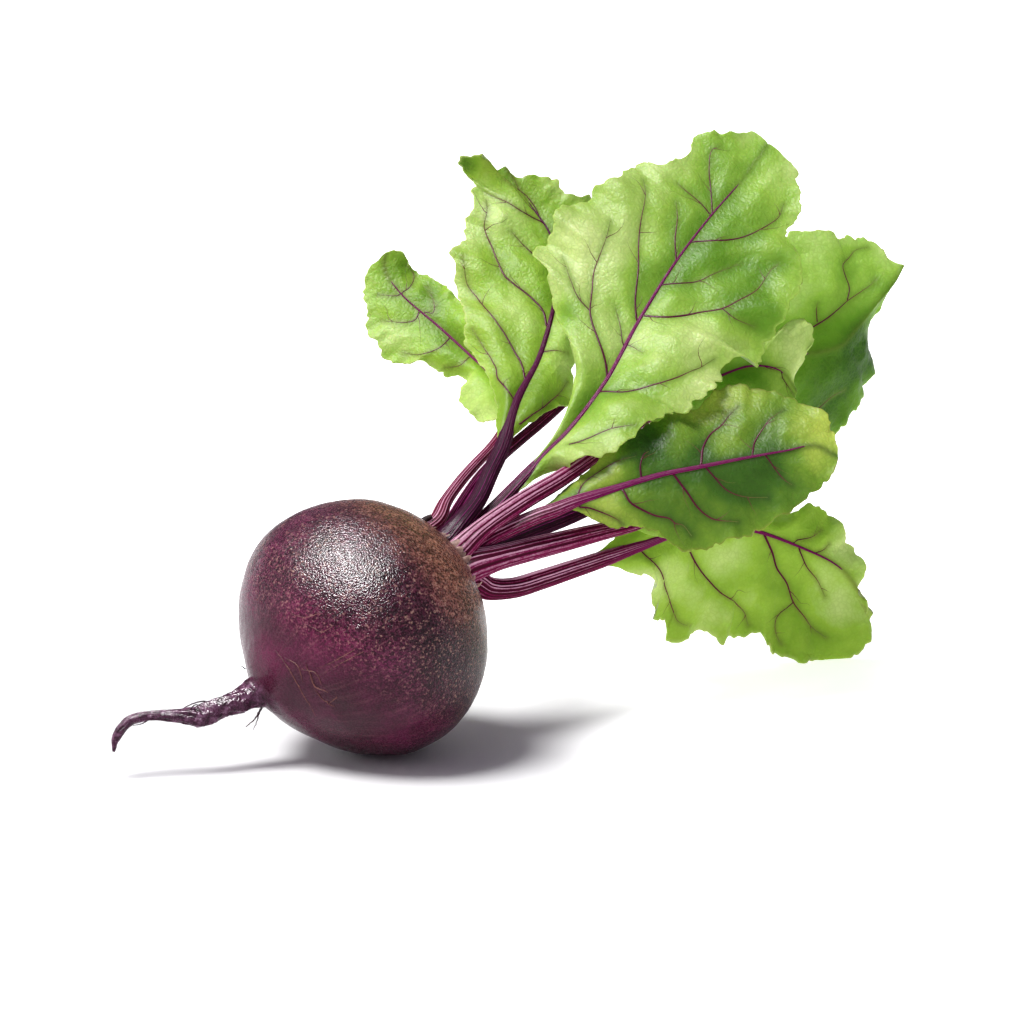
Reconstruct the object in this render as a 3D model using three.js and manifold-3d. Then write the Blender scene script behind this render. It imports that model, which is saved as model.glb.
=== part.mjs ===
// A beetroot as it comes from the market: a round purple root lying on its side, with its tap root at one
// end and nine leaves on ribbed stalks at the other. The root and the edge of the lowest leaf carry it.
// Millimetres, +Z up, origin at the middle of the flat spot that the root rests on.
import * as THREE from "three";
import { mergeVertices } from "three/addons/utils/BufferGeometryUtils.js";
import Module from "manifold-3d";

const wasm = await Module();
wasm.setup();

// The root
const ROOT_RADIUS = 40.3; // at its widest, across the axis
const CROWN_REACH = 37.7; // from the middle to the crown, along the axis
const TAIL_REACH = 37; // from the middle to where the tap root starts
const TAIL_TAPER = 0.71; // how fast the lower half narrows; 0.5 would be an ellipse
const SAG = 1.5; // the underside bulges this much more than the top
const MIDDLE = [-5.5, -3.5, 39]; // of the root, above the surface and off the flat spot's middle
const AROUND = 36; // sides of the root
const GAP = 0.3; // left between solids that touch

// The leaves
const BLADE_THICKNESS = 0.7;
const LAID_HEIGHT = 0.3; // of the middle of a blade that lies on the surface
const STATIONS = 28; // cross lines from a blade's foot to its tip
const ACROSS = [0, 0.36, 0.72, 1]; // columns from rib to edge
const SLOT_GAP = 0.45; // between a rib and the blade on either side of it
const EAR = 0.8; // the least width of a blade beside its rib
const TOOTH = 0.03; // how far the edge's teeth reach, as a share of the blade's width
const RIB_STOP = 0.86; // the rib sinks into the blade at this share of its length
const RIB_TIP_WIDTH = 0.9;
const STALK_SIDES = 10; // ridge, groove, ridge ...
const GROOVE = 0.82; // a groove's radius over a ridge's
const STALK_FLATNESS = 0.78; // thickness over width
const SUNK = 5; // the stalks run on this far under the root's skin before it cuts them off

// The plant is set out as someone in front of it sees it. A place is [across, up, back]: across and up are
// millimetres in the upright picture plane through the root's middle, and back is the distance behind that
// plane along the line of sight. Further back, things look smaller, so spread() opens them out again.
const EYE_DISTANCE = 1000;
const EYE_DROP = THREE.MathUtils.degToRad(12);
const PICTURE_MIDDLE = { across: 46.5, up: 34.5 };

function place([across, up, back]) {
  const spread = 1 + back / EYE_DISTANCE;
  const x = PICTURE_MIDDLE.across + (across - PICTURE_MIDDLE.across) * spread;
  const y = PICTURE_MIDDLE.up + (up - PICTURE_MIDDLE.up) * spread;
  const sin = Math.sin(EYE_DROP);
  const cos = Math.cos(EYE_DROP);
  return new THREE.Vector3(x, y * sin + back * cos, y * cos - back * sin).add(new THREE.Vector3(...MIDDLE));
}

const CROWN = [29.5, 24, 12];
const TAIL = [-30.2, -19.8, -11];
// The tap root from the root's tail to its hooked tip, with its radius at each place.
const TAP_ROOT = [
  { at: [-35, -22, -13], radius: 4.2 },
  { at: [-41, -24.3, -15], radius: 3.5 },
  { at: [-47, -26.6, -17], radius: 3.1 },
  { at: [-53, -26.6, -18.5], radius: 2.1 },
  { at: [-62, -26.6, -20], radius: 1.6 },
  { at: [-68.5, -28.4, -21], radius: 1.5 },
  { at: [-72.2, -33, -21.5], radius: 1.3 },
  { at: [-73, -37.4, -21.5], radius: 0.5 },
];

// Each leaf: its stalk from the crown to the blade's foot, its rib from there to the tip, and the blade's
// edges on the left and right of the rib. wide and ribWide are the widths of stalk and rib, dome is how far
// each half swells towards the viewer, and ripple and waves are the height and number of its edge's waves.
const LEAVES = {
  far_left: {
    wide: 5, ribWide: 2.6, dome: 2, ripple: 1, waves: 4,
    stalk: [[23.7, 31.5, 12], [26.4, 37.2, 17], [30.9, 43.5, 24], [35.4, 48.6, 32], [39.9, 53.4, 41],
      [43.8, 59.1, 52], [45.6, 64.5, 62]],
    rib: [[43.8, 70.5, 72], [39.9, 75.9, 80], [35.4, 80.1, 85], [24.9, 89.7, 91], [12.9, 100.2, 96],
      [8.4, 107.1, 98], [8.4, 112.2, 98]],
    left: [[44.5, 61, 62], [41.4, 61.2, 66], [38.4, 61.5, 69.5], [35.4, 62.7, 72], [32.7, 65.1, 75],
      [31.2, 68.1, 77.5], [30.9, 71.1, 80], [32.7, 72.6, 81.5], [33.9, 74.4, 83.5], [30.9, 75.9, 84.5],
      [27, 75.9, 85.5], [22.8, 77.7, 86.5], [19.5, 79.5, 87.5], [15.9, 79.2, 88], [12, 78.9, 89.5],
      [9.3, 80.1, 90.5], [6.9, 83.7, 91.5], [4.8, 86.7, 92.5], [2.7, 89.1, 94], [3.6, 93, 95],
      [3, 96.6, 95.5], [2.4, 100.5, 96.5], [3, 104.7, 97.5], [4.5, 108, 98], [6.3, 110.1, 98],
      [8.4, 112.2, 98]],
    right: [[47.5, 66, 62], [45.3, 74.1, 76], [42, 83, 83], [30.6, 97.2, 94.5], [27.9, 100.2, 96],
      [24.9, 103.2, 98], [20.4, 105.6, 99.5], [17.1, 107.7, 100], [15.9, 109.5, 100],
      [14.1, 112.5, 99.5], [10.5, 112.8, 98.5], [8.4, 112.2, 98]],
  },
  rear: {
    wide: 4.4, ribWide: 2.8, dome: 3, ripple: 1.6, waves: 5,
    stalk: [[26.7, 28.8, 18], [30.9, 36, 28], [36.9, 44.7, 40], [42.9, 51, 50], [47.7, 55.2, 57],
      [57.3, 63.3, 70], [66.9, 72.6, 84], [72.9, 80.7, 93]],
    rib: [[78.9, 89.7, 100], [85.5, 101.1, 107], [91.5, 113.7, 112], [96.9, 124.5, 115],
      [99.9, 132.6, 117]],
    left: [[71.4, 82.5, 94], [69.9, 92.1, 103], [69.3, 102.6, 109], [72.9, 114.6, 114],
      [80.4, 125.1, 118], [89.4, 131.1, 119], [99.9, 132.6, 117]],
    right: [[76, 81, 92], [84.9, 84.6, 96], [96.9, 90.6, 100], [104.4, 101.1, 104], [105.9, 113.1, 108],
      [104.4, 125.1, 113], [99.9, 132.6, 117]],
  },
  left: {
    wide: 6, ribWide: 4.4, dome: 3, ripple: 1.6, waves: 6,
    stalk: [[27, 26.4, 9], [31.2, 31.5, 11], [36, 37.9, 17], [40.2, 46.8, 26], [43.5, 53.8, 33]],
    rib: [[47.7, 67.5, 45], [54.3, 80.1, 57], [59.1, 97.2, 70], [59.7, 107.7, 77], [57.9, 117.6, 81],
      [51.9, 126.6, 84], [44.4, 138.3, 85]],
    left: [[40.8, 54.3, 34], [41.4, 59.1, 38.5], [42.3, 64.5, 44], [42, 68.1, 47], [40.5, 71.7, 50.5],
      [38.1, 75.6, 54], [36, 79.5, 57], [33.3, 84.6, 60.5], [31.8, 90.6, 64], [31.2, 95.1, 66.5],
      [30.6, 99.6, 69], [29.4, 104.7, 71.5], [27.6, 109.5, 74.5], [27, 111, 75], [29.1, 112.8, 76],
      [30.9, 114.3, 77], [32.1, 116.7, 78], [32.4, 120.6, 79.5], [33, 123.6, 80.5], [34.5, 124.5, 81],
      [34.8, 128.1, 82.5], [34.2, 131.1, 83], [35.4, 132.9, 83], [34.2, 134.7, 82.5],
      [32.4, 137.1, 82.5], [30, 139.8, 82], [31.8, 140.7, 81.5], [37.2, 140.7, 81], [36.9, 138.3, 82],
      [36, 136.2, 82.5], [37.8, 135.6, 83], [39.9, 136.8, 83.5], [42.3, 137.1, 84], [44.4, 138.3, 85]],
    right: [[45.9, 54, 34.5], [48.9, 58.2, 40], [53.4, 61.2, 45], [57.3, 63.3, 49.5], [60.9, 65.4, 53],
      [63.9, 66.9, 55], [64.8, 70.5, 57.5], [64.2, 74.1, 60.5], [63.9, 77.7, 64], [65.1, 80.7, 67],
      [66, 86.1, 72], [69.9, 98.1, 80], [72.9, 111.6, 86], [71.5, 121, 88], [69.9, 129.3, 88],
      [66.9, 128.7, 88], [63.9, 129, 88], [60.9, 130.5, 88], [60, 133.8, 88], [56.4, 135, 88],
      [51.9, 135.6, 87], [48.9, 134.4, 86.5], [46.5, 135.3, 86], [44.4, 138.3, 85]],
  },
  tall: {
    wide: 5.4, ribWide: 3, dome: 3, ripple: 1.5, waves: 8,
    stalk: [[31.2, 25.2, 14], [36.9, 31.2, 18], [42.9, 37.2, 22], [48.3, 43, 25.5]],
    rib: [[54.9, 49.9, 29.5], [63, 58.2, 34], [73.8, 72.3, 41], [84.9, 92.4, 52], [95.4, 109.2, 61],
      [105.9, 123, 69], [115.5, 134.1, 76], [123.3, 144.9, 82]],
    left: [[48.2, 46.8, 28], [52.8, 49.2, 29.5], [56.4, 52.5, 32], [58.8, 54.6, 33.5],
      [61.5, 58.5, 35.5], [63.3, 63.6, 37.5], [64.8, 69.6, 40.5], [65.7, 75.6, 43.5], [65.4, 80.1, 45.5],
      [63.9, 84.6, 47.5], [61.5, 89.1, 49.5], [60, 93.6, 51.5], [58.8, 98.1, 53], [56.4, 106.5, 56],
      [54, 109.5, 57.5], [52.8, 111.6, 58], [54.9, 114.6, 59.5], [58.2, 116.7, 60.5],
      [59.4, 119.7, 61.5], [58.8, 122.4, 62], [60.9, 124.5, 62.5], [63.9, 126.6, 63.5],
      [66.9, 127.5, 64.5], [69.9, 128.7, 65.5], [70.5, 131.4, 66.5], [74.4, 132, 67.5],
      [77.1, 133.2, 68.5], [78.9, 135, 69.5], [80.4, 137.1, 70], [84, 138.3, 71.5], [86.4, 139.8, 72.5],
      [88.2, 138.6, 73], [92.4, 138.6, 74], [96.9, 140.1, 75.5], [99.9, 143.7, 77], [102, 147, 78],
      [104.4, 148.5, 79], [108.9, 147.3, 80.5], [113.4, 147.6, 82], [116.1, 147.9, 82.5],
      [118.2, 148.8, 83], [120.9, 147.3, 82.5], [123.3, 145.2, 82]],
    right: [[52.5, 41.6, 24.5], [56.4, 45.2, 27], [60.9, 48.9, 26.6], [65.4, 49.5, 22], [69.3, 51, 20.5],
      [72.9, 50.7, 22], [75.9, 51.9, 23.5], [80.4, 54.6, 26], [84.9, 58.2, 28], [87.9, 61.2, 29],
      [91.5, 63, 31], [94.5, 64.5, 35], [97.5, 64.2, 35.5], [99.9, 65.7, 37], [101.7, 67.5, 38],
      [104.4, 68.1, 39.5], [106.5, 70.5, 41], [107.7, 73.5, 42.5], [110.1, 75.6, 43.5],
      [109.8, 78, 44.5], [111.9, 80.1, 46], [114.9, 80.7, 47.5], [117.9, 79.5, 49], [120, 78.3, 50],
      [121.8, 81, 51], [122.4, 85.8, 53.5], [125.4, 88.5, 55.5], [127.8, 91.5, 57.5], [129.9, 95.7, 60],
      [132.6, 99.6, 62], [132.6, 105.6, 65.5], [131.7, 111.6, 68], [129.9, 114.9, 69.5],
      [128.1, 116.7, 70.5], [129.3, 119.7, 72], [131.7, 122.1, 74], [132.9, 125.4, 76],
      [132.3, 129.9, 78], [130.8, 132.9, 79.5], [131.4, 136.5, 80.5], [129.9, 139.5, 81],
      [126.9, 142.5, 82], [123.3, 145.2, 82]],
  },
  middle: {
    wide: 6.4, ribWide: 3, dome: 2, ripple: 1, waves: 4,
    stalk: [[30, 22.2, 5], [36.9, 28.8, 8], [48.9, 37.2, 15.5], [60.9, 44.4, 25], [70.5, 51, 33.5],
      [78, 56.4, 39], [85.5, 61.8, 48]],
    rib: [[96, 68.5, 58], [107, 74.5, 65], [118, 78.3, 71], [126.9, 76.8, 76], [132, 70.5, 80]],
    left: [[84, 65, 50], [92.4, 73.5, 58], [102.9, 83, 65], [114.9, 88.5, 70], [123.3, 87, 73],
      [127.8, 90, 75], [131.4, 92.1, 77], [134.4, 91.8, 79], [135.9, 89.4, 81], [135.9, 86.1, 82],
      [134.4, 83.1, 82], [132.3, 78.6, 82], [130.8, 75.6, 82], [132, 70.5, 80]],
    right: [[88, 60.5, 52], [97, 61, 58], [107, 62.5, 63], [116, 63.5, 68], [124, 65.5, 73],
      [129.9, 68.1, 77], [132, 70.5, 80]],
  },
  front: {
    wide: 5.4, ribWide: 4, dome: 2, ripple: 0.8, waves: 5,
    stalk: [[32.4, 21.3, 11.5], [38.4, 25.8, 13], [45.9, 29.7, 15], [54.9, 33.6, 17], [58.5, 34.8, 18]],
    rib: [[66.9, 38.1, 21], [78.9, 42, 25], [90.9, 45.6, 29], [102.9, 48, 32], [114.9, 50.4, 35],
      [128.4, 52.8, 38], [137.4, 54.3, 40], [144.3, 51, 41]],
    left: [[55.5, 37.2, 22.5], [58.5, 39, 24], [62.4, 41.4, 26], [65.7, 43.5, 26.5], [68.4, 46.2, 27],
      [71.4, 49.2, 28.5], [75.9, 53.1, 31], [81.9, 57.3, 34.5], [88.5, 61.2, 38.5], [94.5, 64.2, 41],
      [99.9, 65.7, 44], [102.9, 66.6, 45.5], [105, 67.8, 47], [106.5, 70.2, 49], [109.5, 71.7, 49.5],
      [113.4, 72.6, 50], [116.4, 72.6, 50], [118.8, 71.1, 50.5], [121.8, 70.5, 51], [125.4, 70.2, 51],
      [128.1, 68.7, 50.5], [131.4, 68.1, 50], [134.1, 65.7, 49], [137.4, 64.8, 48], [140.4, 63, 47],
      [142.5, 59.1, 44.5], [144, 54.6, 42], [144.3, 51, 41]],
    right: [[60.9, 33.6, 19.5], [64.5, 34.8, 20.5], [66.9, 34.2, 21], [69.9, 33, 22], [72.9, 31.5, 23],
      [75.9, 29.7, 24], [78.9, 29.1, 25], [83.4, 29.7, 26], [87.9, 29.1, 27.5], [90.3, 28.2, 28.5],
      [91.8, 25.8, 29.5], [93.9, 24.3, 30.5], [96.9, 23.4, 31.5], [99.9, 23.1, 32.5],
      [102.9, 23.4, 33.5], [107.4, 24.3, 34.5], [111.9, 25.5, 36], [116.4, 27, 37], [119.7, 29.1, 38],
      [123.3, 30.6, 38.5], [126.9, 33, 39], [129.9, 34.8, 39.5], [132.9, 36.9, 40], [135.9, 39, 40.5],
      [138.9, 41.7, 41], [141, 44.4, 41], [143.1, 47.1, 41], [144.3, 51, 41]],
  },
  right: {
    wide: 4.8, ribWide: 3.2, dome: 2, ripple: 1.2, waves: 6,
    stalk: [[31.5, 20.7, 19], [42.9, 24.6, 25], [51.9, 28.2, 31], [66.6, 34.2, 42], [87.9, 45.6, 60],
      [105, 59, 78], [114.9, 67.5, 86]],
    rib: [[122.4, 75, 93], [133.2, 81.6, 101], [140.4, 82.8, 106], [145.5, 84.6, 109], [150.3, 90, 112],
      [155.4, 96.3, 114.5], [161.4, 103.5, 117.5], [164.1, 108.6, 119]],
    left: [[112.5, 69.5, 88], [107.4, 83.1, 97], [113.4, 98.1, 105], [123.9, 110.7, 110],
      [127.8, 116.1, 112], [131.4, 119.1, 113], [134.4, 118.8, 114], [136.8, 119.1, 115],
      [139.5, 119.4, 115.5], [142.2, 118.2, 116], [143.7, 116.7, 116], [147.9, 116.7, 117],
      [152.4, 116.1, 118], [156, 114.9, 118.5], [158.4, 113.1, 118.5], [159.9, 110.7, 119],
      [161.7, 109.2, 119], [164.1, 108.6, 119]],
    right: [[117, 65.5, 89], [122.4, 61, 100], [132.9, 56.7, 113], [140.4, 56.4, 121],
      [144.9, 58.8, 126], [147.9, 64.5, 130], [151.2, 70.2, 133], [150.6, 72.6, 134], [153, 77.1, 136],
      [152.7, 82.5, 136], [152.4, 87.6, 134], [153.3, 93.6, 130], [158.1, 99.6, 125],
      [164.1, 108.6, 119]],
  },
  inner: {
    wide: 8, ribWide: 4, dome: 2, ripple: 1.2, waves: 6,
    stalk: [[33.3, 18, 7], [39.9, 20.1, 10], [48.9, 22.5, 17], [60.9, 25.5, 26], [72.9, 28.5, 35],
      [82, 30.6, 41]],
    rib: [[92.4, 33.6, 48], [102.9, 38.1, 54], [114.9, 44.1, 60], [126, 50.7, 64], [136.5, 57, 67]],
    left: [[81, 33.6, 42.5], [87, 42.6, 48], [95.4, 51.6, 52], [104.4, 58.5, 55.5], [114.9, 63, 58],
      [125.4, 63.9, 61], [132.9, 61.5, 65], [136.5, 57, 67]],
    right: [[84, 28, 42], [91.5, 26.7, 45], [102, 26.4, 50], [113.4, 29.4, 56], [124.5, 35.4, 61],
      [133.5, 43.5, 65], [137.4, 51, 67], [136.5, 57, 67]],
  },
  low: {
    wide: 6.8, ribWide: 4.6, dome: 3, ripple: 1.5, waves: 8,
    stalk: [[34.5, 14.1, 14], [39.3, 11.7, 17], [46.5, 11.7, 22], [54.9, 14.1, 30], [63.9, 17.1, 38],
      [72.9, 20.1, 46]],
    rib: [[84.9, 24.3, 57], [95.4, 27.9, 67], [107.4, 30, 78], [118.2, 29.1, 87], [131.4, 24.6, 96],
      [144.9, 17.7, 104], [152.4, 8.4, 110]],
    left: [[71.5, 24, 49], [84.9, 32.1, 64], [96.9, 36.6, 78], [108.9, 38.1, 88], [120.9, 35.7, 94],
      [128.4, 33.9, 98.5], [132.9, 36.3, 101], [135, 37.5, 102.5], [137.4, 36.6, 104],
      [140.4, 34.5, 105.5], [143.4, 31.5, 107], [145.8, 29.1, 108], [146.4, 26.1, 109],
      [148.5, 23.7, 109.5], [150.9, 20.1, 110], [151.5, 15.6, 110], [150.3, 11.7, 110],
      [149.7, 9.9, 110], [153, 8.4, 110]],
    right: [[75.9, 17.1, 50], [78.9, 16.2, 54], [81.3, 15.6, 57.5], [84.9, 15, 62], [87.3, 13.2, 65],
      [87.9, 10.2, 69], [88.8, 6.6, 74], [89.4, 4.5, 76.5], [87.9, 1.8, 79.5], [90.9, 2.1, 82],
      [93.3, 2.1, 84], [94.2, -0.9, 86.5], [92.7, -4.5, 89.5], [97.2, -4.5, 91.5], [99.9, -2.4, 93],
      [102.9, -0.6, 94.5], [105, -2.1, 96], [106.5, -4.2, 98], [108.6, -4.8, 99], [111, -2.1, 100],
      [113.4, -3, 101], [116.4, -3.3, 102], [118.2, -1.8, 103], [120.6, -2.7, 104.5],
      [121.8, -5.4, 107.5], [123.9, -7.5, 110.5], [126.9, -9, 112.5], [129.9, -8.7, 113.5],
      [132.3, -11.1, 115], [134.4, -10.2, 115.5], [136.5, -10.8, 116.5], [141.9, -10.8, 118],
      [146.4, -9.9, 118], [149.7, -8.1, 118], [152.7, -4.5, 117.5], [154.5, -1.2, 117], [153, 0.9, 116],
      [153.6, 4.5, 114], [153, 8.4, 110]],
  },
};

// Colours and finishes
const SKIN = new THREE.MeshStandardMaterial({ color: 0x4b2a35, roughness: 0.5, metalness: 0 });
const STALK_RED = new THREE.MeshStandardMaterial({ color: 0x8a1f4f, roughness: 0.4, metalness: 0 });
const LEAF_GREEN = new THREE.MeshStandardMaterial({ color: 0x6fa33a, roughness: 0.45, metalness: 0 });

function toSolid(geometry) {
  const bare = new THREE.BufferGeometry();
  bare.setAttribute("position", geometry.getAttribute("position").clone());
  if (geometry.index) bare.setIndex(geometry.index.clone());
  const merged = mergeVertices(bare, 1e-4);
  return new wasm.Manifold(
    new wasm.Mesh({
      numProp: 3,
      vertProperties: new Float32Array(merged.attributes.position.array),
      triVerts: new Uint32Array(merged.index.array),
    }),
  );
}

function toGeometry(solid) {
  const made = solid.getMesh();
  const geometry = new THREE.BufferGeometry();
  geometry.setAttribute("position", new THREE.BufferAttribute(made.vertProperties, 3));
  geometry.setIndex(new THREE.BufferAttribute(made.triVerts, 1));
  return geometry;
}

function fromLists(points, triangles) {
  const geometry = new THREE.BufferGeometry().setFromPoints(points);
  geometry.setIndex(triangles);
  return geometry;
}

// Closes a stack of rings, each with the same number of points, into one tube with a fan at either end.
function tube(rings) {
  const count = rings[0].length;
  const points = rings.flat();
  const triangles = [];
  for (let i = 0; i + 1 < rings.length; i++) {
    for (let j = 0; j < count; j++) {
      const a = i * count + j;
      const b = i * count + ((j + 1) % count);
      triangles.push(a, b, b + count, a, b + count, a + count);
    }
  }
  for (const [ring, turned] of [[0, true], [rings.length - 1, false]]) {
    const middle = new THREE.Vector3();
    rings[ring].forEach((p) => middle.addScaledVector(p, 1 / count));
    points.push(middle);
    for (let j = 0; j < count; j++) {
      const a = ring * count + j;
      const b = ring * count + ((j + 1) % count);
      triangles.push(points.length - 1, turned ? b : a, turned ? a : b);
    }
  }
  return fromLists(points, triangles);
}

// ---- the root ----

const middle = place([0, 0, 0]);
const axis = place(CROWN).sub(place(TAIL)).normalize(); // from tail to crown
const sideways = new THREE.Vector3(0, 0, 1).cross(axis).normalize();
const upwards = new THREE.Vector3().crossVectors(axis, sideways);

// The root's radius at a place along its axis, tail to crown, with low lumps round it.
function rootRadius(along, angle) {
  const reach = along > 0 ? CROWN_REACH : TAIL_REACH;
  const power = along > 0 ? 0.5 : TAIL_TAPER;
  const round = ROOT_RADIUS * Math.max(0, 1 - (along / reach) ** 2) ** power;
  const lump = 0.006 * Math.sin(2 * angle + 0.6) + 0.005 * Math.sin(3 * angle + along / 11);
  return round * (1 + lump);
}

function ring(centre, across, up, radiusAt) {
  const points = [];
  for (let j = 0; j < AROUND; j++) {
    const angle = (2 * Math.PI * j) / AROUND;
    const radius = radiusAt(angle);
    const point = centre.clone().addScaledVector(across, radius * Math.cos(angle));
    points.push(point.addScaledVector(up, radius * Math.sin(angle)));
  }
  return points;
}

function rootSolid(extra) {
  const rings = [];
  const crownRings = 11;
  for (let i = 0; i < crownRings; i++) {
    const along = CROWN_REACH * Math.cos(((i + 0.35) / crownRings) * (Math.PI / 2));
    rings.push(bodyRing(along, extra));
  }
  const tailRings = 10;
  for (let i = 0; i <= tailRings; i++) {
    const along = -TAIL_REACH * Math.sin((i / tailRings) * 1.27);
    rings.push(bodyRing(along, extra));
  }
  rings.push(...tapRings(extra));
  return toSolid(tube(rings.reverse()));
}

function bodyRing(along, extra) {
  const share = rootRadius(along, 0) / ROOT_RADIUS;
  const centre = middle.clone().addScaledVector(axis, along);
  centre.addScaledVector(upwards, -SAG * share);
  return ring(centre, sideways, upwards, (angle) => rootRadius(along, angle) + extra);
}

function tapRings(extra) {
  const course = new THREE.CatmullRomCurve3([place(TAIL), ...TAP_ROOT.map((p) => place(p.at))]);
  const steps = 14;
  const rings = [];
  for (let i = 1; i <= steps; i++) {
    const t = (i / steps) * TAP_ROOT.length;
    const whole = Math.max(0, Math.min(TAP_ROOT.length - 2, Math.floor(t) - 1));
    const part = Math.min(1, Math.max(0, t - 1 - whole));
    const radius = THREE.MathUtils.lerp(TAP_ROOT[whole].radius, TAP_ROOT[whole + 1].radius, part);
    const ahead = course.getTangent(i / steps).negate();
    const across = new THREE.Vector3(0, 0, 1).cross(ahead).normalize();
    const up = new THREE.Vector3().crossVectors(ahead, across);
    const knobbly = (angle) => radius * (1 + 0.1 * Math.sin(2 * angle + i)) + extra;
    rings.push(ring(course.getPoint(i / steps), across, up, knobbly));
  }
  return rings;
}

function belowSurface() {
  const slab = new THREE.BoxGeometry(400, 400, 20);
  slab.translate(0, 0, -10);
  return toSolid(slab);
}

// ---- the leaves ----

const CURVE_STEPS = 800; // for measuring along a curve

function smooth(points) {
  const curve = new THREE.CatmullRomCurve3(points);
  curve.arcLengthDivisions = CURVE_STEPS;
  return curve;
}

// Keeps the middle of a blade over the surface: what would reach through it lies along it.
function laid(point) {
  point.z = Math.max(point.z, LAID_HEIGHT);
  return point;
}

// Everything about one leaf that both its stalk and its blade are drawn from.
function layOut(leaf) {
  const sunk = place(leaf.stalk[0]).addScaledVector(axis, -SUNK);
  const course = smooth([sunk, ...[...leaf.stalk, ...leaf.rib].map(place)]);
  const lengths = course.getLengths();
  const stalkShare = leaf.stalk.length / (leaf.stalk.length + leaf.rib.length);
  const foot = lengths[Math.round(stalkShare * CURVE_STEPS)] / lengths[CURVE_STEPS];
  const edges = { left: smooth(leaf.left.map(place)), right: smooth(leaf.right.map(place)) };
  const ribAt = (s) => course.getPointAt(foot + (1 - foot) * s);
  const ribAhead = (s) => course.getTangentAt(foot + (1 - foot) * s);
  const halfRib = (s) => (leaf.ribWide * (1 - s) ** 1.2 + RIB_TIP_WIDTH) / 2;
  const outwards = (side, s) => edges[side].getPointAt(s).sub(ribAt(s));
  const levelAt = (s) => {
    const across = outwards("left", s).normalize().sub(outwards("right", s).normalize());
    return across.projectOnPlane(ribAhead(s)).normalize();
  };
  return { leaf, course, foot, ribAt, ribAhead, halfRib, outwards, levelAt };
}

// A point on the middle of the blade: s from foot to tip, t from the rib's flank to the edge.
function onBlade(plan, side, s, t, slot) {
  const { leaf } = plan;
  const rib = plan.ribAt(s);
  const level = plan.levelAt(s);
  if (side === "right") level.negate();
  const flank = slot ? plan.halfRib(s) + SLOT_GAP : 0;
  const inner = rib.clone().addScaledVector(level, flank);
  const out = plan.outwards(side, s);
  const narrow = Math.max(0, flank + EAR - out.dot(level));
  const outer = rib.clone().add(out).addScaledVector(level, narrow);
  const fade = Math.sqrt(Math.sin(Math.PI * s) + 1e-9);
  const tooth = 1 + TOOTH * Math.sin(s * 61 + (side === "left" ? 0 : 2)) * t * fade;
  const point = inner.clone().lerp(outer, t * tooth);
  const facing = plan.levelAt(s).cross(plan.ribAhead(s)).normalize();
  if (facing.y > 0) facing.negate();
  const swell = leaf.dome * Math.sin(Math.PI * t) * Math.sin(Math.PI * Math.min(1, s * 1.2) ** 0.7);
  const phase = side === "left" ? 0 : 1.9;
  const wave = leaf.ripple * t * t * Math.sin(2 * Math.PI * leaf.waves * s + phase);
  point.addScaledVector(facing, swell + wave * fade);
  return laid(point);
}

// The blade's middle as a sheet of triangles, slotted from its foot for the rib as far as RIB_STOP.
function bladeSheet(plan) {
  const points = [];
  const add = (point) => points.push(point) - 1;
  const lastSlot = Math.round(RIB_STOP * STATIONS);
  const tip = add(laid(plan.ribAt(1)));
  const rows = { left: [], right: [] };
  for (let i = 0; i < STATIONS; i++) {
    const s = i / STATIONS;
    const slot = i < lastSlot;
    for (const side of ["left", "right"]) {
      rows[side].push(ACROSS.map((t) => {
        if (t === 0 && !slot && side === "right") return rows.left[i][0];
        return add(onBlade(plan, side, s, t, slot));
      }));
    }
  }
  for (const side of ["left", "right"]) rows[side].push(ACROSS.map(() => tip));
  const triangles = [];
  const addTriangle = (...corners) => {
    if (new Set(corners).size === 3) triangles.push(corners);
  };
  for (const side of ["left", "right"]) {
    for (let i = 0; i < STATIONS; i++) {
      for (let j = 0; j + 1 < ACROSS.length; j++) {
        const [a, b] = [rows[side][i][j], rows[side][i][j + 1]];
        const [c, d] = [rows[side][i + 1][j + 1], rows[side][i + 1][j]];
        if (side === "left") {
          addTriangle(a, c, b);
          addTriangle(a, d, c);
        } else {
          addTriangle(a, b, c);
          addTriangle(a, c, d);
        }
      }
    }
  }
  return { points, triangles };
}

// Gives a sheet its thickness: a face on either side, the same triangles on both, and a wall round the rim.
function thicken({ points, triangles }, thickness) {
  const normals = points.map(() => new THREE.Vector3());
  const rim = new Map();
  for (const [a, b, c] of triangles) {
    const normal = new THREE.Vector3().subVectors(points[b], points[a]);
    normal.cross(new THREE.Vector3().subVectors(points[c], points[a]));
    for (const corner of [a, b, c]) normals[corner].add(normal);
    for (const [from, to] of [[a, b], [b, c], [c, a]]) {
      if (rim.has(`${to} ${from}`)) rim.delete(`${to} ${from}`);
      else rim.set(`${from} ${to}`, [from, to]);
    }
  }
  normals.forEach((normal, i) => {
    if (points[i].z > LAID_HEIGHT) normal.normalize();
    else normal.set(0, 0, Math.sign(normal.z) || 1);
  });
  const faces = [0.5, -0.5].flatMap((side) =>
    points.map((p, i) => p.clone().addScaledVector(normals[i], side * thickness)),
  );
  faces.forEach((p) => (p.z = Math.max(p.z, 0)));
  const back = points.length;
  const all = triangles.flatMap(([a, b, c]) => [a, b, c, back + c, back + b, back + a]);
  for (const [a, b] of rim.values()) all.push(b, a, back + a, b, back + a, back + b);
  return toSolid(fromLists(faces, all));
}

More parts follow.
